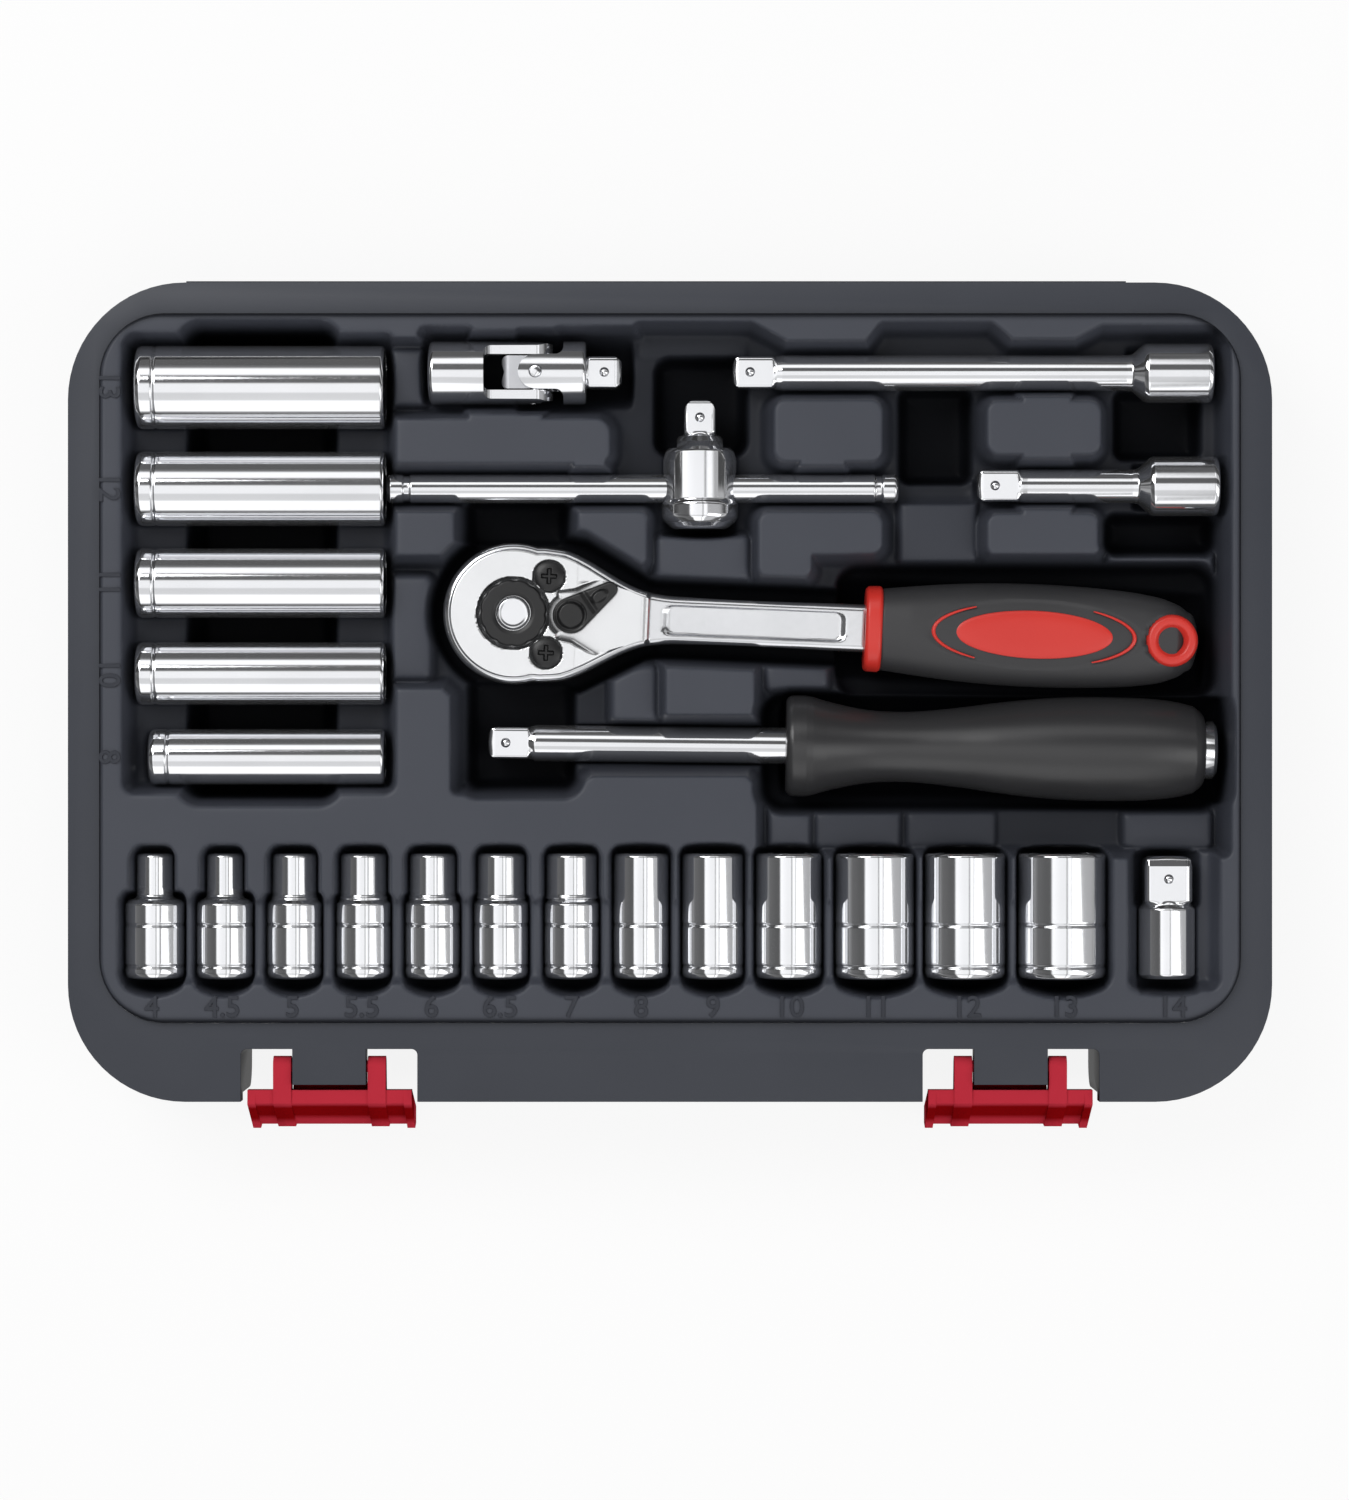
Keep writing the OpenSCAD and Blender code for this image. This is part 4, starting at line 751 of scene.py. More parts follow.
def lathe(name, profile, start, degrees, cap=4.2, closed=True):
    """A profile carried round an axis that starts at `start` (mm) and points that way in plan."""
    s, r, theta = rings(eased(profile), SIDES, cap)
    c, d = math.cos(math.radians(degrees)), math.sin(math.radians(degrees))
    side, up = r * np.cos(theta), r * np.sin(theta)
    px = start[0] + s * c - side * d
    py = start[1] + s * d + side * c
    pz = start[2] + up
    tables = [np.concatenate([t, t[:, :1]], 1) for t in (px, py, pz)]
    if closed:
        tables = [np.concatenate([t, t[:1]], 0) for t in tables]
    return cleaned(sheet_mesh(name, *(t * MM for t in tables)), sharp=38)


SIDES = 96  # points round each turned piece
DRIVE, DRIVE_HOLE, HOLE_DEPTH, MOUTH = 6.35 / 2, 3.235, 8.4, 4.35


def female_end(passage):
    """The stations of a square hole from the passage at its floor out to its mouth."""
    return [
        (HOLE_DEPTH, passage), (HOLE_DEPTH, DRIVE_HOLE, *SQUARE), (5.4, DRIVE_HOLE, *SQUARE),
        (0.6, DRIVE_HOLE, *SQUARE), (0, MOUTH),
    ]


BLIND = [(HOLE_DEPTH, 0), *female_end(0)[1:]]  # a square hole with a closed floor


def male_end(root, length, neck):
    """The stations of a square drive from its root out to its tip, closed at the axis."""
    half = DRIVE
    return [
        (root, half + neck), (root + 0.7, half, *SQUARE), (root + length - 1.3, half, *SQUARE),
        (root + length - 0.4, half * 0.94, *SQUARE), (root + length, half * 0.8),
        (root + length, 0),
    ]


# %% Sockets
def socket_profile(across_flats, radius, neck, length, groove):
    """Outside from drive end to hex end, then back inside through hex, passage and square."""
    hex_depth = 10.5 if length < 30 else length - 11.4
    passage = min(3.0, across_flats * 0.45 + 0.6)
    corner = across_flats / 2 / math.cos(math.pi / 6)
    outside = [(0, 4.35), (0, radius - 1.1), (0.32, radius - 0.36), (1.1, radius)]
    for at in groove:
        outside += [(at - 0.34, radius), (at - 0.2, radius - 0.2),
                    (at + 0.2, radius - 0.2), (at + 0.34, radius)]
    if neck < radius:
        outside += [(length - 10.1, radius), (length - 9.3, radius - 0.75),
                    (length - 8.95, neck + 0.3), (length - 8.5, neck)]
    outside += [(length - 0.5, neck), (length, neck - 0.45), (length, corner + 0.3)]
    inside = [
        (length - 0.8, across_flats / 2, *HEX), (length - hex_depth, across_flats / 2, *HEX),
        (length - hex_depth, passage),
    ]
    return outside + inside + female_end(passage)


for name in SOCKETS:
    x0, x1, y0, y1 = span(name)
    af = float(size_of(name)) + 0.15  # across flats, with the fit's play
    if name.startswith("deep"):
        profile = socket_profile(af, (y1 - y0) / 2, (y1 - y0) / 2, x1 - x0, [3.8])
        data = lathe(name + "_look", profile, (x0, (y0 + y1) / 2, TOOL), 0)
    else:
        radius = (x1 - x0) / 2
        profile = socket_profile(af, radius, NECK.get(name, radius), y1 - y0, [2.6, 10.9])
        data = lathe(name + "_look", profile, ((x0 + x1) / 2, y0, TOOL), 90)
    show(data, "chrome", BODY[name], name)
print(len(SOCKETS), "sockets of", len(data.polygons), "faces each")

# %% [markdown]
# Some turned pieces are milled afterwards: the tips of the squares, the yokes and the tee's head.
# Each milling cut is a prism over an outline, taken away from the turned blank or kept alone.

# %% Milling cuts
def prism(outline, along, place, reach=12.0):
    """A closed prism over an outline in mm round `place`, with `reach` each way along an axis."""
    outline = np.array(outline, float)
    a, b = outline[np.hypot(*(outline - np.roll(outline, 1, 0)).T) > 1e-6].T
    n, count = len(a), np.arange(len(a))
    ends = []
    for end in (-reach, reach):
        c = np.full(n, end)
        ends.append(np.stack({"X": (c, a, b), "Y": (a, c, b), "Z": (a, b, c)}[along], -1))
    after = (count + 1) % n
    sides = np.stack([count, after, after + n, count + n], -1).tolist()
    faces = [list(range(n)), list(range(n, 2 * n)), *sides]
    data = bpy.data.meshes.new("prism")
    data.from_pydata(((np.concatenate(ends) + place) * MM).tolist(), [], faces)
    mesh = bmesh.new()
    mesh.from_mesh(data)
    bmesh.ops.recalc_face_normals(mesh, faces=mesh.faces)
    mesh.to_mesh(data)
    mesh.free()
    return data


def carved(data, *cuts):
    """The blank after each cut: DIFFERENCE takes a prism away, INTERSECT keeps it alone."""
    blank = bpy.data.objects.new("blank", data)
    tools = [bpy.data.objects.new("cutter", tool) for _, tool in cuts]
    for obj in (blank, *tools):
        bpy.context.scene.collection.objects.link(obj)
    for (how, _), tool in zip(cuts, tools):
        step = blank.modifiers.new("cut", "BOOLEAN")
        step.operation, step.solver, step.object = how, "EXACT", tool
    out = evaluated(blank)
    name = data.name
    for obj in (blank, *tools):
        used = obj.data
        bpy.data.objects.remove(obj)
        bpy.data.meshes.remove(used)
    out.name = name
    out.materials.clear()
    out.shade_smooth()
    out.set_sharp_from_angle(angle=math.radians(30))
    return out


def arc(x, y, r, start, stop, steps=14):
    """Points on a circle between two angles in degrees."""
    t = np.radians(np.linspace(start, stop, steps))
    return np.stack([x + r * np.cos(t), y + r * np.sin(t)], -1)


def both_sides(*half):
    """A half outline given from left to right above the axis, closed by its mirror image below."""
    upper = np.concatenate([np.atleast_2d(h) for h in half])
    return np.concatenate([upper, upper[::-1] * (1, -1)])


TIP = both_sides((-130, 14), (-9.2, 14), (-9.2, 3.4), (-1.5, 3.4), arc(-1.9, 1.27, 1.9, 88, 0))


def rounded_tip(data, tip, way):
    """Rounds the corners of a square drive in plan; it ends at `tip` and looks along +X or -X."""
    return carved(data, ("INTERSECT", prism(TIP * (way, 1), "Z", tip)))


# %% Extensions, spinner shaft, adaptor and bar
def extension_profile(length, radius, square=8.4):
    """A female end, the rod behind its taper, and the male square."""
    root = length - square
    return [
        *BLIND, (0, 5.2), (0.25, 5.75), (0.9, 6), (13.2, 6), (13.9, 5.7), (16.2, radius + 0.15),
        (17.4, radius), (root - 3.2, radius), (root - 1.6, radius),
        *male_end(root - 0.4, square + 0.4, neck=0.25),
    ]


for name, radius in (("long_extension", 3.6), ("short_extension", 3.4)):
    x0, x1, y0, y1 = span(name)
    profile = extension_profile(x1 - x0, radius)
    data = lathe(name + "_look", profile, (x1, (y0 + y1) / 2, TOOL), 180, closed=False)
    data = rounded_tip(data, (x0, (y0 + y1) / 2, TOOL), -1)
    show(data, "chrome", BODY[name], name)

x0, x1, y0, y1 = span("drive_adaptor")
profile = [
    *BLIND, (0, 4.9), (0.8, 5.7), (14.1, 5.7), (14.6, 5.3), (14.9, 5.0), (15.6, 4.75, *SQUARE),
    (22.7, 4.75, *SQUARE), (24.2, 4.45, *SQUARE), (24.7, 3.8), (24.7, 0),
]
start = ((x0 + x1) / 2, y0, TOOL)
data = lathe("drive_adaptor_look", profile, start, 90, cap=6.2, closed=False)
show(data, "chrome", BODY["drive_adaptor"], "drive_adaptor")

x0, x1, y0, y1 = span("tee_bar")
profile = [(0, 0), (0, 2.3), (0.6, 2.9)]
for at in (4, 99):
    profile += [(at - 0.8, 2.9), (at - 0.6, 2.6), (at + 0.6, 2.6), (at + 0.8, 2.9)]
profile += [(102.4, 2.9), (103, 2.3), (103, 0)]
data = lathe("tee_bar_look", profile, (x0, TEE_BAR_Y, TOOL), 0, closed=False)
show(data, "chrome", "bar", "tee_bar")

profile = [
    (98.0, 0), (98.0, 3.7), (11.6, 3.7), (9.4, 3.7), (8.6, 3.45), (8.0, DRIVE, *SQUARE),
    (1.3, DRIVE, *SQUARE), (0.4, 2.98, *SQUARE), (0, 2.5), (0, 0),
]
data = lathe("spinner_shaft_look", profile, (*SPINNER, HANDLE), SPINNER_TURN, closed=False)
data = rounded_tip(data, (*SPINNER, HANDLE), -1)
show(data, "chrome", "spinner", "spinner_shaft")
print("spinner shaft of", len(data.polygons), "faces")

# %% [markdown]
# The universal joint's yokes and the sliding tee's head are turned too, and then milled.

# %% Joint and tee
x0, x1, y0, y1 = span("joint_socket_yoke")
CROSSING = (x0 + 21.6, (y0 + y1) / 2, TOOL)
SOLE = -10.4  # where the socket yoke's ears leave its sleeve
EAR = 3.45  # radius of the ears' ends
profile = [*BLIND, (0, 5.2), (0.3, 6.1), (0.8, 6.4), (25.4, 6.4), (25.8, 6.0), (25.8, 0)]
blank = lathe("joint_socket_yoke_look", profile, (x0, CROSSING[1], TOOL), 0, closed=False)
ear_side = both_sides(
    (-30, 7), (SOLE, 7), arc(SOLE + 1.6, 5.1, 1.6, 180, 270), arc(0, 0, EAR, 90, 0)
)
ear_plan = both_sides((-30, 7), (-7, 7), (4.4, 5.5), (4.4, 3.6), arc(SOLE + 1, 2.6, 1, 90, 180))
pin_hole = arc(0, 0, 1.34, 0, 345, 24)
data = carved(
    blank, ("INTERSECT", prism(ear_side, "Y", CROSSING)),
    ("INTERSECT", prism(ear_plan, "Z", CROSSING)), ("DIFFERENCE", prism(pin_hole, "Y", CROSSING)),
)
show(data, "chrome", BODY["joint_socket_yoke"], "joint_socket_yoke")

profile = [
    (-4.2, 0), (-4.2, 5.8), (-3.6, 6.4), (9.6, 6.4), (10.0, 6.2), (10.2, 5.8), (10.2, 4.6),
    (9.9, 4.2), *male_end(9.9, 7.4, neck=0.2),
]
blank = lathe("joint_drive_yoke_look", profile, CROSSING, 0, closed=False)
ear_plan = both_sides(
    arc(0, 0, EAR, 180, 90), arc(4.0, 5.1, 1.6, -90, 0), (5.6, 7), (10.6, 7), (10.6, 4),
    (15.9, 4), (15.9, DRIVE), (17.3, 2.1),
)
mouth = both_sides((-8, 3.6), arc(4.2, 2.6, 1, 90, 0))
data = carved(
    blank, ("INTERSECT", prism(ear_plan, "Z", CROSSING)),
    ("DIFFERENCE", prism(mouth, "Y", CROSSING)), ("DIFFERENCE", prism(pin_hole, "Z", CROSSING)),
)
show(data, "chrome", BODY["joint_drive_yoke"], "joint_drive_yoke")

# the block between the yokes is cast, with a round nose that fills the slot
BLOCK = 3.3  # half the block's width
block_side = np.concatenate([
    [(BLOCK, -BLOCK), (BLOCK, BLOCK)], arc(-5.2, 1.7, 1.6, 90, 180), [(-6.8, 0.9), (-4.9, -BLOCK)],
])
block_plan = both_sides(
    (-6.3, 0), (-6.8, 1.6), arc(-5.6, 2.1, 1.2, 180, 90), (2.9, BLOCK), (BLOCK, 2.9)
)
pin_room = arc(0, 0, 1.5, 0, 345, 24)
data = carved(
    prism(block_side, "Y", CROSSING, BLOCK), ("INTERSECT", prism(block_plan, "Z", CROSSING)),
    ("DIFFERENCE", prism(pin_room, "Y", CROSSING)),
    ("DIFFERENCE", prism(pin_room, "Z", CROSSING)),
)
data.name = "joint_block_look"
CAST = metal("cast_block", (190, 191, 195), 0.42, 0.12, grain=420.0)
show(data, SLOT["joint_block"], BODY["joint_block"], "joint_block", mat=CAST)

x0, x1, y0, y1 = span("tee_head")
TEE = ((x0 + x1) / 2, y0 + 8.2, TOOL)
profile = [
    (-8.2, 0), (-8.2, 5.0), (-7.8, 5.9), (-6.8, 7.0), (-5.9, 7.6), (-5.3, 7.7), (-3.1, 7.7),
    (-2.7, 7.5), (-2.4, 7.3), (5.6, 7.4), (7.4, 7.0), (8.3, 6.2), (9.4, 5.1), (10.6, 4.2),
    (10.6, 3.5), (11.2, DRIVE, *SQUARE), (17.3, 3.12, *SQUARE), (17.7, 2.8, *SQUARE), (17.7, 0),
]
blank = lathe("tee_head_look", profile, TEE, 90, closed=False)
panel = np.concatenate([[(6, 9), (-6, 9)], arc(0, -7.2, 13.6, 116, 64, 30)])
tip = both_sides(
    (-10, 9), (8, 9), (8, 4.6), (15.6, 4.6), (15.6, 3.2), arc(14.9, 0.2, 3.0, 75, 20)
)
data = carved(
    blank, ("DIFFERENCE", prism(arc(0, 0, 3.15, 0, 352.5, 48), "X", TEE)),
    ("DIFFERENCE", prism(panel, "Y", (TEE[0], TEE[1] + 2.6, TEE[2]), 4.7)),
    ("INTERSECT", prism(tip[:, ::-1], "Z", TEE)),
)
show(data, "chrome", BODY["tee_head"], "tee_head")
print("joint and tee milled, crossing at", [round(v, 2) for v in CROSSING])

# %% [markdown]
# Each latch has a ledge that reaches in under the tab it hangs from.

# %% Latch ledges
LEDGE_SIDE = [(-6.2, -2.0), (-4.8, -2.2), (-4.2, -3.2), (-3.4, -3.4), (-3.4, -4.4), (-6.8, -4.6)]
LEDGE_HALF = 7.6
HINGE_IN, HINGE_DOWN = 13.4, 2.1  # the pips from the latch's front and from its top
for node in ("latch_left", "latch_right"):
    low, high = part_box(node)
    hinge = ((low[0] + high[0]) / 2 / MM, low[1] / MM + HINGE_IN, high[2] / MM - HINGE_DOWN)
    data = prism(LEDGE_SIDE, "X", hinge, LEDGE_HALF)
    data.name = node + "_ledge"
    show(data, "latch_plastic", BODY[node], node)
print("latch ledges reach", LEDGE_HALF, "mm to each side")

# %% [markdown]
# The spinner's grip is moulded plastic: a flange, a waist for the finger tips and a full belly.
# Its radius is a smooth curve along the axis, so it is turned in the same way.

# %% Spinner grip
along = np.linspace(0, 1, 60)
GRIP_AT = [0, 0.035, 0.09, 0.2, 0.28, 0.4, 0.52, 0.66, 0.8, 0.9, 0.96, 1.0]
GRIP_R = [10.2, 10.2, 9.0, 7.3, 7.1, 7.9, 9.2, 10.3, 10.5, 10.2, 9.6, 8.8]


def smooth_curve(t, knots, values):
    """A cubic through the knots; its slope at each is the mean slope of the steps beside it."""
    knots, values = np.array(knots, float), np.array(values, float)
    slope = np.gradient(values, knots)
    i = np.clip(np.searchsorted(knots, t, "right") - 1, 0, len(knots) - 2)
    h = knots[i + 1] - knots[i]
    u = (t - knots[i]) / h
    a, b, c = 2 * u**3 - 3 * u**2 + 1, u**3 - 2 * u**2 + u, u**3 - u**2
    here = a * values[i] + b * h * slope[i]
    return here + (1 - a) * values[i + 1] + c * h * slope[i + 1]


start, end = 60.0, 144.4  # the grip's ends from the tip of the shaft
SHAFT_HOLE, END_HOLE = 3.72, 5.86
belly = smooth_curve(along, GRIP_AT, GRIP_R)
profile = [
    (start + 30, SHAFT_HOLE), (start, SHAFT_HOLE), (start, 9.2), (start + 0.5, 9.9),
    *[(start + 1.2 + t * (end - start - 3.4), r) for t, r in zip(along, belly)],
    (end - 1.0, 7.9), (end - 0.2, 7.0), (end, 6.2), (end, END_HOLE), (end - 8, END_HOLE),
    (end - 8, SHAFT_HOLE),
]
data = lathe("spinner_grip_look", profile, (*SPINNER, HANDLE), SPINNER_TURN)
show(data, "spinner_plastic", "spinner", "spinner_grip")
print("spinner grip of", len(data.polygons), "faces")

# %% [markdown]
# ## The ratchet
# Its forged body widens into a pear-shaped head. A cover plate closes the head from above,
# and two black screws hold it. Both pieces are layers: a width and two heights for each place
# along the handle. The top height carries the pockets, the lever's recess and the rounded rims.

# %% Layers along the handle
HEAD_Z = 14.5  # underside of the head
HEAD_TOP = HEAD_Z + 10


def to_case(u, v):
    """Plan position in mm from places along and across the ratchet."""
    c, s = math.cos(math.radians(TURN)), math.sin(math.radians(TURN))
    return GEAR[0] + u * c - v * s, GEAR[1] + u * s + v * c


def layer(name, stations, half, top, bottom, across=60, skirt=2):
    """A closed layer: at each station a row of points over the top, and back underneath."""
    t = np.sin(np.linspace(-np.pi / 2, np.pi / 2, across))
    t = 0.55 * t + 0.45 * np.linspace(-1, 1, across)
    u = np.repeat(stations[:, None], across, 1)
    v = half(stations)[:, None] * t
    z_top, z_low = top(u, v), bottom(u, v)
    lo, hi = z_low[:, -1:], z_top[:, -1:]
    side = [hi + (lo - hi) * k / (skirt + 1) for k in range(1, skirt + 1)]
    ones = np.ones((1, skirt))
    uu = np.concatenate([u, u[:, -1:] * ones, u[:, ::-1], u[:, :1] * ones, u[:, :1]], 1)
    vv = np.concatenate([v, v[:, -1:] * ones, v[:, ::-1], v[:, :1] * ones, v[:, :1]], 1)
    zz = np.concatenate([z_top, *side, z_low[:, ::-1], *side[::-1], z_top[:, :1]], 1)
    px, py = to_case(uu, vv)
    return cleaned(sheet_mesh(name, px * MM, py * MM, zz * MM), 1e-6, cap=True, sharp=50)


HEAD_R, SECOND_R = 14.2, 13.6  # the circle round the gear, and the one 6 mm behind it
HEAD_EDGE = [(6, SECOND_R), (10.6, 13.0), (14.5, 11.4), (18.5, 9.2), (22, 7.3), (26, 5.7),
             (30, 5.0), (34, 4.8), (72, 4.8)]
TAIL_U = np.linspace(6, 72, 300)
TAIL_HALF = smooth_curve(TAIL_U, *zip(*HEAD_EDGE))


def head_half(u, grow=0.0):
    """Half width of the body: two circles for the head, then a smooth curve to the shank."""
    front = np.sqrt(np.maximum((HEAD_R + grow) ** 2 - u**2, 0))
    second = np.sqrt(np.maximum((SECOND_R + grow) ** 2 - (u - 6) ** 2, 0))
    tail = np.interp(u, TAIL_U, TAIL_HALF) + grow
    return np.where(u < 0, front, np.where(u < 6, np.maximum(front, second), tail))


EDGE_U = np.concatenate([
    -HEAD_R * np.cos(np.linspace(0, np.pi / 2, 24)), np.linspace(0.5, 33, 60), [72.0],
])
HEAD_OUTLINE = [(float(a), float(b)) for a, b in zip(EDGE_U, head_half(EDGE_U))]
HEAD_OUTLINE += [(a, -b) for a, b in HEAD_OUTLINE[::-1]]


def round_rim(distance, radius):
    """How far a rounded rim has sunk at that distance inside an edge: a quarter circle."""
    t = np.clip(1 - distance / radius, 0, 1)
    return radius * (1 - np.sqrt(1 - t * t))


def sunk(u, v, rim):
    """How far a place lies in from the head's flat: the shank's step, the round rim, the field."""
    field = np.clip(0.5 - soft_box(u, v, 30.5, 66.5, -2.9, 2.9, 1.6) / 0.5, 0, 1)
    step = np.clip((u - 26.6) / 0.9, 0, 1)
    return step, round_rim(-soft_outline(u, v, HEAD_OUTLINE), rim), 0.6 * field


def body_top(u, v):
    """Top of the head, and of the shank 1 mm lower, with a recessed field along the shank."""
    step, rim, field = sunk(u, v, 1.5)
    return HEAD_TOP - step - rim - field


def body_low(u, v):
    """Underside: the mirror image of the top."""
    step, rim, field = sunk(u, v, 1.2)
    return HEAD_Z + step + rim + field


stations = np.concatenate([
    -HEAD_R * np.cos(np.linspace(0.03, np.pi / 2, 40)), np.arange(0.4, 26.3, 0.5),
    np.arange(26.4, 28, 0.15), np.linspace(28.4, 72.8, 80),
])
data = layer("ratchet_body_look", stations, head_half, body_top, body_low, 64)
show(data, "satin_chrome", "ratchet", "ratchet_body")
print("ratchet body of", len(data.polygons), "faces")

# %% Cover plate
PIVOT = 11.6  # the lever's axis behind the gear's
SCREW_U, SCREW_V = 6.9, 7.7
RECESS_EDGE = [
    (8.8, 4.6), (12.4, 5.2), (15.0, 6.6), (19.8, 9.3), (40, 20),
    (40, -20), (20.2, -9.7), (15.5, -7.2), (12, -5.2), (8.8, -4.6),
]


def plate_half(u):
    """Half width of the plate: the head's own edge, 1.3 mm further in."""
    return head_half(u, -1.3)


def plate_top(u, v):
    """The plate's flat top with its rounded rim, the lever's recess and the round seats."""
    d = -soft_outline(u, v, HEAD_OUTLINE) - 1.3
    z = HEAD_Z + 11.6 - 0.35 * np.clip(1 - d / 0.5, 0, 1) ** 2
    # the horns on both sides of the lever slope down towards their tips
    z = z - 0.16 * np.maximum(u - 12.6, 0) * np.clip((np.abs(v) - 5) / 2, 0, 1)
    gap = np.minimum(np.hypot(u - PIVOT, v) - 4.5, soft_outline(u, v, RECESS_EDGE))
    seat_floor = HEAD_Z + 10.75
    z = np.minimum(z, seat_floor + lean(gap, 2.2, 0.3))
    z = z - 0.5 * np.clip((u - 25.7) / 0.9, 0, 1) ** 2
    ring = np.hypot(u, v) - 7.1
    z = np.minimum(z, HEAD_Z + 10.3 + lean(ring, 4, 0.15))
    for side in (-1, 1):
        seat = np.hypot(u - SCREW_U, v - side * SCREW_V) - 3.15
        z = np.minimum(z, HEAD_Z + 10.6 + lean(seat, 4, 0.15))
    return z


def plate_low(u, v):
    """The plate's flat underside, just clear of the body."""
    return 0 * u + HEAD_Z + 10.02


stations = np.concatenate([
    -12.9 * np.cos(np.linspace(0.03, np.pi / 2, 60)), np.arange(0.25, 26.9, 0.25), [26.9, 27.0],
])
data = layer("cover_plate_look", stations, plate_half, plate_top, plate_low, 150, 1)
show(data, "plate_chrome", "ratchet", "cover_plate")
print("cover plate of", len(data.polygons), "faces")

# %% [markdown]
# The ring, the screws, the button and the lever are small black or bright pieces on the plate.
# Round ones are turned about an upright axis. The lever is a layer of its own: a hub,
# a tapered arm, a raised disc on the hub and a thumb pad near the tip.

# %% Upright turned pieces
def upright(name, profile, u, v, sides=72, lobes=0, lobe_depth=0.0):
    """A profile of heights and radii carried round an upright axis at (u, v) on the ratchet."""
    stations = eased(profile, 0.16)
    theta = (np.arange(sides + 1) % sides) / sides * 2 * np.pi
    wave = 1 - lobe_depth * (0.5 + 0.5 * np.cos(lobes * theta)) ** 3
    r = stations[:, 1:2] * np.where(stations[:, 1:2] > 5.5, wave, 1.0)
    px, py = to_case(u + r * np.cos(theta), v + r * np.sin(theta))
    pz = stations[:, :1] + 0 * theta
    return cleaned(sheet_mesh(name, px * MM, py * MM, pz * MM), sharp=40)


TOP = HEAD_TOP
RING_IN, RING_OUT = 3.55, 6.75
ring_profile = [
    (TOP + 0.3, RING_IN), (TOP + 0.3, RING_OUT), (TOP + 1.9, RING_OUT), (TOP + 2.3, 6.4),
    (TOP + 2.3, 4.3), (TOP + 2.1, RING_IN), (TOP + 0.3, RING_IN),
]
data = upright("dial_ring_look", ring_profile, 0, 0, 144, 12, 0.035)
show(data, "black_steel", "gear", "dial_ring")
BUTTON_R, BUTTON_PIN = 3.4, 1.2
button_profile = [
    (HEAD_Z - 5.6, 0), (HEAD_Z - 5.6, BUTTON_PIN), (TOP - 1, BUTTON_PIN), (TOP - 1, BUTTON_R),
    (TOP + 2.3, BUTTON_R), (TOP + 2.8, 2.9), (TOP + 2.7, 2.4), (TOP + 2.68, 0),
]
show(upright("release_button_look", button_profile, 0, 0), "chrome", "button", "release_button")
print("dial ring of", len(data.polygons), "faces")

# %% Screws with a cross recess
SCREW_R, SLOT_HALF, SLOT_REACH = 2.9, 0.36, 1.5
screws = []
for side in (-1, 1):
    t = np.linspace(0, 1, 22)
    r = np.concatenate([SCREW_R * t, [SCREW_R, SCREW_R]])
    theta = (np.arange(97) % 96) / 96 * 2 * np.pi
    rr, th = r[:, None] + 0 * theta, theta + 0 * r[:, None]
    u, v = rr * np.cos(th), rr * np.sin(th)
    cross = np.minimum(
        np.maximum(np.abs(u) - SLOT_HALF, np.abs(v) - SLOT_REACH),
        np.maximum(np.abs(v) - SLOT_HALF, np.abs(u) - SLOT_REACH),
    )
    z = TOP + 1.8 - 0.5 * (rr / 3.0) ** 4 - 0.75 * np.clip(0.5 - cross / 0.25, 0, 1)
    z[-1] = TOP + 0.6
    px, py = to_case(SCREW_U + u, side * SCREW_V + v)
    screws.append((px, py, z))
rows = [np.concatenate([a[k] for a in screws]) for k in range(3)]
data = sheet_mesh("cover_screws_look", *(rows[k] * MM for k in range(3)))
mesh = bmesh.new()
mesh.from_mesh(data)
# the faces that join one screw to the other are the only long ones
joins = [f for f in mesh.faces if max(e.calc_length() for e in f.edges) > 0.008]
bmesh.ops.delete(mesh, geom=joins, context="FACES")
bmesh.ops.remove_doubles(mesh, verts=mesh.verts, dist=1e-7)
mesh.to_mesh(data)
mesh.free()
data.set_sharp_from_angle(angle=math.radians(50))
show(data, "black_steel", "ratchet", "cover_screws")
print("two screws of", len(data.polygons), "faces")

# %% Direction lever
LEVER_ANGLE = 36.0
HUB_R, TIP_R, TIP_AT = 3.65, 1.6, 9.4


def lever_half(a):
    """Half width of the lever along its length: the hub's circle, a taper, the tip's circle."""
    hub = np.sqrt(np.maximum(HUB_R**2 - a**2, 0))
    tip = np.sqrt(np.maximum(TIP_R**2 - (a - TIP_AT) ** 2, 0))
    taper = 3.6 + (1.62 - 3.6) * np.clip((a - 0.7) / 8.9, 0, 1)
    return np.where(a < 0.7, hub, np.where(a < 9.6, taper, tip))


stations = np.concatenate([
    -HUB_R * np.cos(np.linspace(0.04, np.pi / 2, 20)), np.linspace(0.2, 9.6, 60),
    TIP_AT + TIP_R * np.sin(np.linspace(0.14, np.pi / 2 - 0.03, 12)),
])
across = np.linspace(-1, 1, 48)
a = np.repeat(stations[:, None], len(across), 1)
b = lever_half(stations)[:, None] * across
rim = np.clip((lever_half(stations)[:, None] - np.abs(b)) / 0.7, 0, 1)
low = TOP + 0.95
z = low + 1.7 + 0.5 * np.sqrt(1 - (1 - rim) ** 2)
disc = np.hypot(a, b) - 2.5
moat = np.clip(1 - np.abs(disc - 0.45) / 0.35, 0, 1)
z = z + 0.55 * np.clip(0.5 - disc / 0.35, 0, 1) - 0.25 * moat
pad = np.hypot((a - 6.9) / 1.6, b) - 1.05
z = z + 0.45 * np.clip(0.5 - pad / 0.5, 0, 1) - 0.3 * np.clip(1 - np.abs(a - 4.6) / 0.8, 0, 1)
aa = np.concatenate([a, a[:, ::-1], a[:, :1]], 1)
bb = np.concatenate([b, b[:, ::-1], b[:, :1]], 1)
zz = np.concatenate([z, 0 * z + low, z[:, :1]], 1)
c, s = math.cos(math.radians(LEVER_ANGLE)), math.sin(math.radians(LEVER_ANGLE))
px, py = to_case(PIVOT + aa * c - bb * s, aa * s + bb * c)
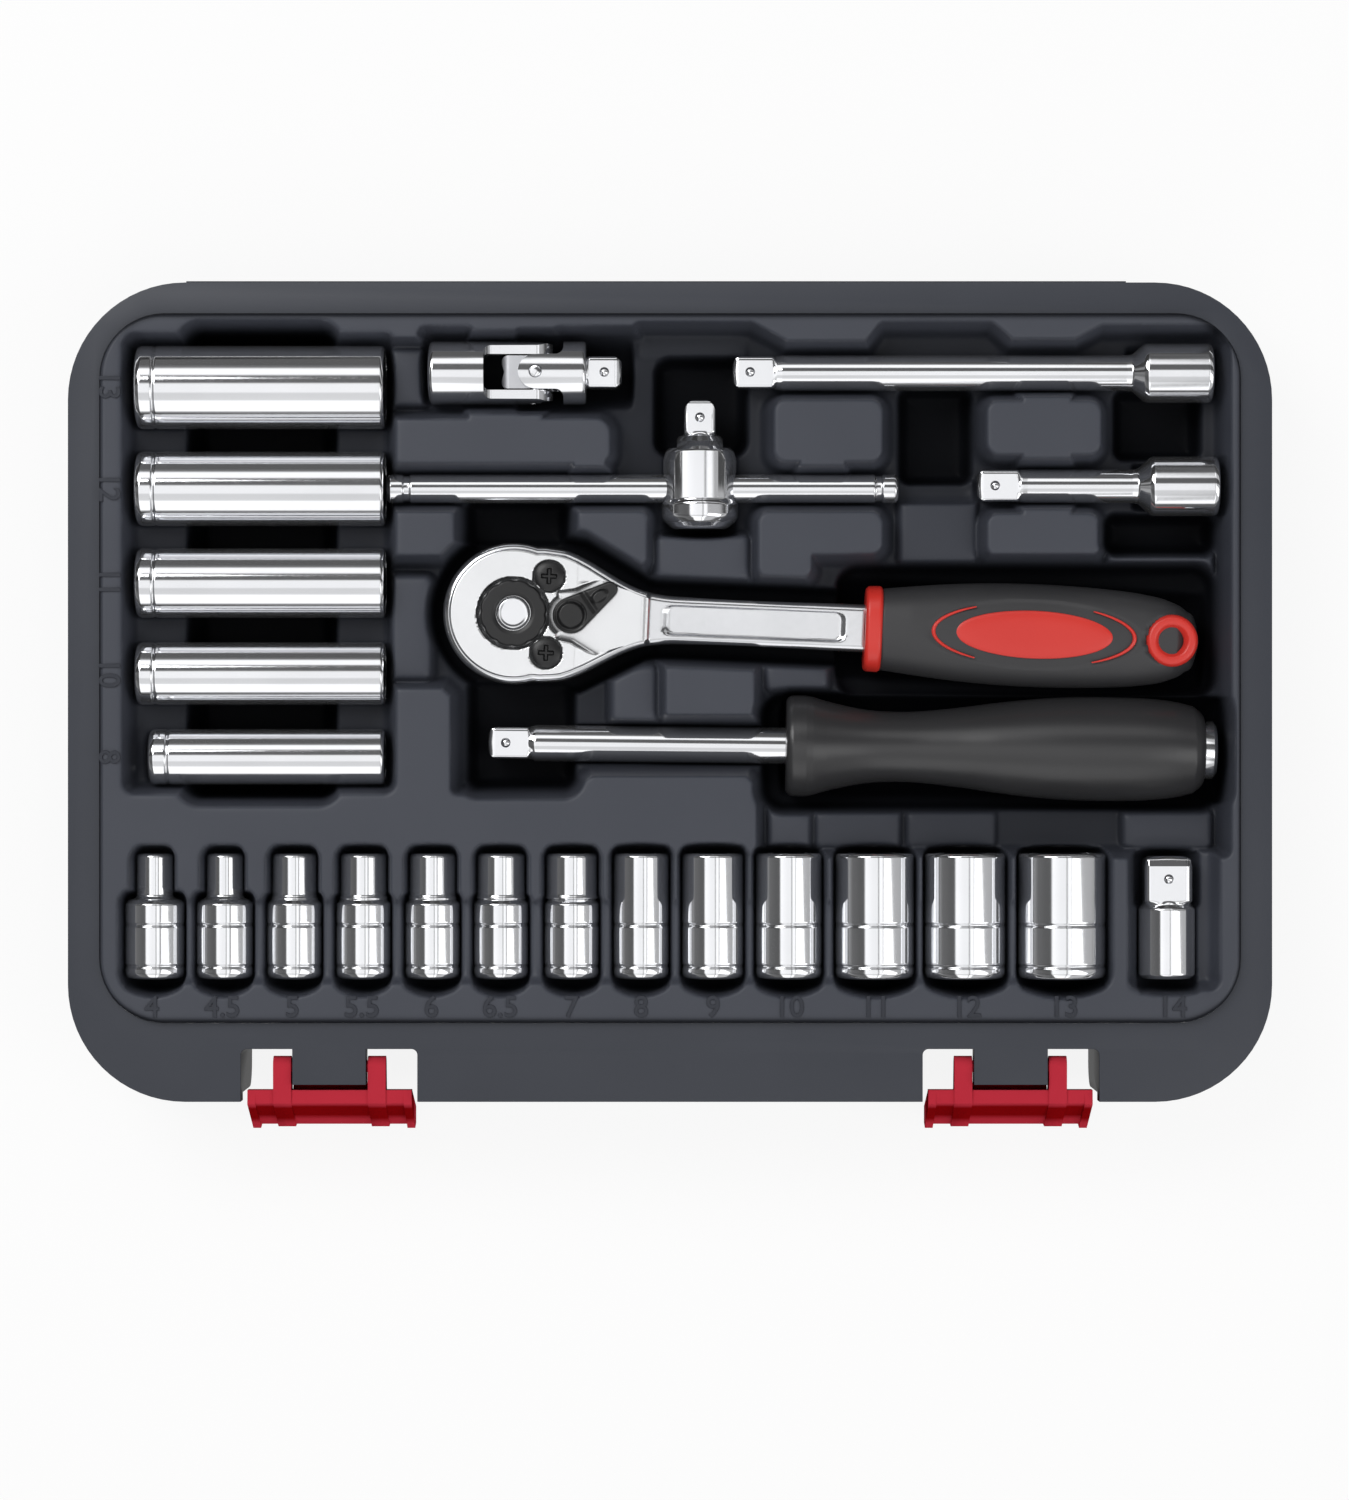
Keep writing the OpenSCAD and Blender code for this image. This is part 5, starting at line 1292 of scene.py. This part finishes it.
data = sheet_mesh("direction_lever_look", px * MM, py * MM, zz * MM)
show(cleaned(data, 1e-6, cap=True, sharp=55), "black_lever", "lever", "direction_lever")
print("lever of", len(data.polygons), "faces")

# %% [markdown]
# ## The ratchet's handle
# A red core shows as a collar, an oval inlay and a ring round the hang hole.
# Over it lies a soft grey grip, oval in section. The grip is a surface of two parameters,
# its place along the handle and the angle round it.

# %% Grip
GRIP_HALF = [
    (74, 8.2), (80, 8.9), (88, 9.7), (96, 10.2), (103, 10.4), (112, 10.3), (120, 9.9),
    (127, 9.2), (132, 8.1), (135.5, 6.3), (137.6, 3.9), (138.5, 0.0),
]
GRIP_START, GRIP_END = GRIP_HALF[0][0], GRIP_HALF[-1][0]
INLAY, HANG = 104.6, 132.4  # the middle of the oval inlay and the axis of the hang hole
knots, values = zip(*GRIP_HALF)
fine = np.linspace(GRIP_START, GRIP_END, 400)
u = np.concatenate([
    np.linspace(GRIP_START, 131, 90), GRIP_END - 7.5 * np.cos(np.linspace(0.1, np.pi / 2, 30)),
])
half = np.maximum(np.interp(u, fine, smooth_curve(fine, knots, values)), 0)
half[-1] = 0.0
theta = (np.arange(161) % 160) / 160 * 2 * np.pi


def rounded_section(theta, wide, high, power=2.6):
    """A superellipse: both coordinates are powers of sine and cosine, so its corners are full."""
    c, s = np.cos(theta), np.sin(theta)
    bend = 2 / power
    return wide * np.sign(c) * np.abs(c) ** bend, high * np.sign(s) * np.abs(s) ** bend


def grip_height(u):
    """Half thickness: 7.9 mm behind the collar, 8.4 along the grip, less round the hang hole."""
    at = [GRIP_START, 80, 118, 128, 133, 136.5, GRIP_END]
    return np.interp(u, at, [7.9, 8.4, 8.4, 7.8, 7.0, 4.2, 0.0])


sideways, up = rounded_section(theta[None, :], half[:, None], grip_height(u)[:, None])
uu = u[:, None] + 0 * sideways
flat = np.clip(1 - ((uu - INLAY) / 21.5) ** 2 - (sideways / 6.9) ** 2, 0, 1) ** 0.5
up = up - np.sign(up) * 0.35 * np.clip(flat * 3, 0, 1)
seat = np.hypot(uu - HANG, sideways) - 5.3
up = np.where(seat < 0, np.sign(up) * np.minimum(np.abs(up), 6.6), up)
px, py = to_case(uu, sideways)
data = sheet_mesh("handle_grip_look", px * MM, py * MM, (HANDLE + up) * MM)
show(cleaned(data, 1e-6, cap=True), "handle_grey", "ratchet", "handle_grip")
print("ratchet grip of", len(data.polygons), "faces")

# %% Red core: collar, inlay, arcs and ring
TURNING = (np.arange(97) % 96)[None, :] / 96 * 2 * np.pi  # 96 equal angles, the first one again


def join_sheets(name, tables):
    """One mesh of several sheets, each given as three tables in mm."""
    mesh = bmesh.new()
    for n, (px, py, pz) in enumerate(tables):
        part = cleaned(sheet_mesh(f"{name}_{n}", px * MM, py * MM, pz * MM), cap=True)
        mesh.from_mesh(part)
        bpy.data.meshes.remove(part)
    data = bpy.data.meshes.new(name)
    mesh.to_mesh(data)
    mesh.free()
    data.shade_smooth()
    data.set_sharp_from_angle(angle=math.radians(40))
    return data


def dome_oval(sign, semi_u, semi_v, rise, base):
    """An oval cushion: its height is the square root of one minus the fourth power of r."""
    r = np.sin(np.linspace(0, np.pi / 2, 16))[:, None]
    x, y = to_case(INLAY + semi_u * r * np.cos(TURNING), semi_v * r * np.sin(TURNING))
    z = HANDLE + sign * (base + rise * np.sqrt(np.maximum(1 - r**4, 0)) + 0 * TURNING)
    skirt = z[-1:] - sign * 1.5
    return [np.concatenate([t, end], 0) for t, end in ((x, x[-1:]), (y, y[-1:]), (z, skirt))]


def arc_rib(sign, side):
    """A thin raised arc beside the inlay: a round section carried along part of an ellipse."""
    phi = np.linspace(-0.95, 0.95, 40)[:, None] + (0 if side > 0 else np.pi)
    w = np.linspace(0, 2 * np.pi, 13)[None, :]
    taper = np.cos(np.linspace(-1.45, 1.45, 40))[:, None] ** 0.5
    grow = 0.42 * np.cos(w) * taper
    x, y = to_case(INLAY + (20.2 + grow) * np.cos(phi), (6.3 + grow) * np.sin(phi))
    return [x, y, HANDLE + sign * (7.95 + 0.45 * np.sin(w) * taper)]


def upright_ring(inner_r, outer_r, high):
    """A ring on the hang hole's axis with rounded rims."""
    low, top = HANDLE - high, HANDLE + high
    prof = eased([
        (low, inner_r + 0.9), (low, outer_r - 0.6), (low + 0.8, outer_r), (top - 0.8, outer_r),
        (top, outer_r - 0.6), (top, inner_r + 0.9), (top - 1.2, inner_r), (low + 1.2, inner_r),
        (low, inner_r + 0.9),
    ], 0.4)
    x, y = to_case(HANG + prof[:, 1:2] * np.cos(TURNING), prof[:, 1:2] * np.sin(TURNING))
    return [x, y, prof[:, :1] + 0 * TURNING]


def collar():
    """The flat-sided collar in front of the grip, a superellipse with rounded rims."""
    start, end, bore = 70.8, 74.2, 4.6
    prof = eased([
        (start, bore), (start, 8.1), (71.3, 8.6), (73.7, 8.7), (end, 8.2), (end, bore),
        (start, bore),
    ], 0.3)
    v, w = rounded_section(TURNING, prof[:, 1:2], prof[:, 1:2] * 0.97, 3.0)
    x, y = to_case(prof[:, :1] + 0 * TURNING, v)
    return [x, y, HANDLE + w]


parts = [collar(), upright_ring(2.4, 5.25, 7.4)]
for sign in (-1, 1):
    parts.append(dome_oval(sign, 15.8, 4.8, 0.45, 7.95))
    parts += [arc_rib(sign, -1), arc_rib(sign, 1)]
show(join_sheets("handle_core_look", parts), "handle_red", "ratchet", "handle_core")
print("ratchet dressed")

# %% [markdown]
# ## Light and camera
# The case lies on a white floor, lit softly from the left, and the camera looks straight down.

# %% Floor and lamps
WHITE_SHARE = 0.88


def plane(name, size, z, tone):
    """A square floor of that size with a plain pale finish."""
    half = size / 2
    data = bpy.data.meshes.new(name)
    corners = [(-half, -half, z), (half, -half, z), (half, half, z), (-half, half, z)]
    data.from_pydata(corners, [], [(0, 1, 2, 3)])
    mat, tree, shader = new_material(name, Roughness=0.9)
    shader.inputs["Base Color"].default_value = (tone, tone, tone, 1)
    # the camera and the metal see part of the floor as plain white, the rest keeps the shadow
    white = add(tree, "ShaderNodeEmission", Strength=1.0)
    path = add(tree, "ShaderNodeLightPath")
    seen = add(tree, "ShaderNodeMath", operation="MAXIMUM")
    wire(tree, path, "Is Camera Ray", seen, 0)
    wire(tree, path, "Is Glossy Ray", seen, 1)
    share = add(tree, "ShaderNodeMath", operation="MULTIPLY")
    wire(tree, seen, 0, share, 0)
    share.inputs[1].default_value = WHITE_SHARE
    mixed = add(tree, "ShaderNodeMixShader")
    wire(tree, share, 0, mixed, "Fac")
    wire(tree, shader, "BSDF", mixed, 1)
    wire(tree, white, "Emission", mixed, 2)
    wire(tree, mixed, "Shader", tree.nodes["Material Output"], "Surface")
    data.materials.append(mat)
    obj = bpy.data.objects.new(name, data)
    bpy.context.scene.collection.objects.link(obj)
    return obj


def area(name, place, aim, size, power, tone=(1, 1, 1)):
    """A rectangular lamp at `place`, turned to `aim`."""
    lamp = bpy.data.lights.new(name, "AREA")
    lamp.shape = "RECTANGLE"
    lamp.size, lamp.size_y = size
    lamp.energy = power
    lamp.color = tone
    obj = bpy.data.objects.new(name, lamp)
    obj.location = place
    toward = Vector(aim) - Vector(place)
    obj.rotation_euler = toward.to_track_quat("-Z", "Y").to_euler()
    bpy.context.scene.collection.objects.link(obj)
    return obj


floor = plane("floor", 6.0, 0.0, 0.93)
area("key", (-0.55, 0.5, 0.9), (0, 0, 0), (0.5, 0.7), 5.5)
area("fill", (0.8, -0.3, 0.8), (0, 0, 0), (0.5, 0.9), 2.2)
print("floor", tuple(floor.dimensions)[:2], "m wide, and two lamps")

# %% Surroundings
world = bpy.data.worlds.new("studio")
bpy.context.scene.world = world
world.use_nodes = True
sky = world.node_tree
back = sky.nodes["Background"]
back.inputs["Strength"].default_value = 1.12


def bands(tree, over, right, stops):
    """Brightness by a direction's angle from straight up: the angle picks a grey from a ramp."""
    angle = add(tree, "ShaderNodeMath", operation="ARCTAN2")
    tree.links.new(over, angle.inputs[0])
    tree.links.new(right, angle.inputs[1])
    turn_share = add(tree, "ShaderNodeMapRange")
    turn_share.inputs["From Min"].default_value = -math.pi
    turn_share.inputs["From Max"].default_value = math.pi
    tree.links.new(angle.outputs[0], turn_share.inputs["Value"])
    greys = [((degrees + 180) / 360, (level,) * 3) for degrees, level in stops]
    return colour_ramp(tree, turn_share.outputs["Result"], greys)


way = add(sky, "ShaderNodeTexCoord")
axes = add(sky, "ShaderNodeSeparateXYZ")
wire(sky, way, "Generated", axes, "Vector")
# brightness of the surroundings by angle from straight up, in degrees: across the case's depth
# and across its width. The narrow dark bands draw the lines that polished steel shows.
DEPTH_STOPS = [
    (-180, 0.3), (-128, 0.55), (-106, 0.5), (-92, 0.2), (-76, 0.2), (-71, 1.2), (-42, 1.2),
    (-38, 0.75), (-20, 0.72), (-16, 1.0), (6, 1.0), (10, 0.09), (28, 0.09), (33, 1.15),
    (48, 1.15), (53, 0.2), (61, 0.08), (84, 0.08), (92, 0.5), (115, 0.6), (135, 0.35), (180, 0.3),
]
WIDTH_STOPS = [
    (-180, 0.3), (-128, 0.45), (-106, 0.3), (-92, 0.42), (-80, 0.25), (-70, 0.12), (-45, 0.08),
    (-33, 0.08), (-28, 1.15), (-6, 1.0), (7, 1.0), (8.5, 0.35), (10.5, 0.35), (12, 1.15),
    (20, 1.15), (25, 0.42), (60, 0.45), (95, 0.4), (110, 0.2), (180, 0.2),
]
deep = bands(sky, axes.outputs["Y"], axes.outputs["Z"], DEPTH_STOPS)
wide = bands(sky, axes.outputs["X"], axes.outputs["Z"], WIDTH_STOPS)
sky.links.new(times(sky, deep, wide), back.inputs["Color"])
print("surroundings of", len(DEPTH_STOPS), "by", len(WIDTH_STOPS), "stops of light")

# %% Camera
lens = bpy.data.cameras.new("camera")
lens.sensor_width = 36.0
lens.lens = 120.0
lens.clip_start = 0.01
eye = bpy.data.objects.new("camera", lens)
eye.location = (0.0009, -0.0116, 1.030)
bpy.context.scene.collection.objects.link(eye)
bpy.context.scene.camera = eye
bpy.context.scene.view_settings.view_transform = "Standard"
print("camera", round(eye.location[2], 3), "m above the floor")
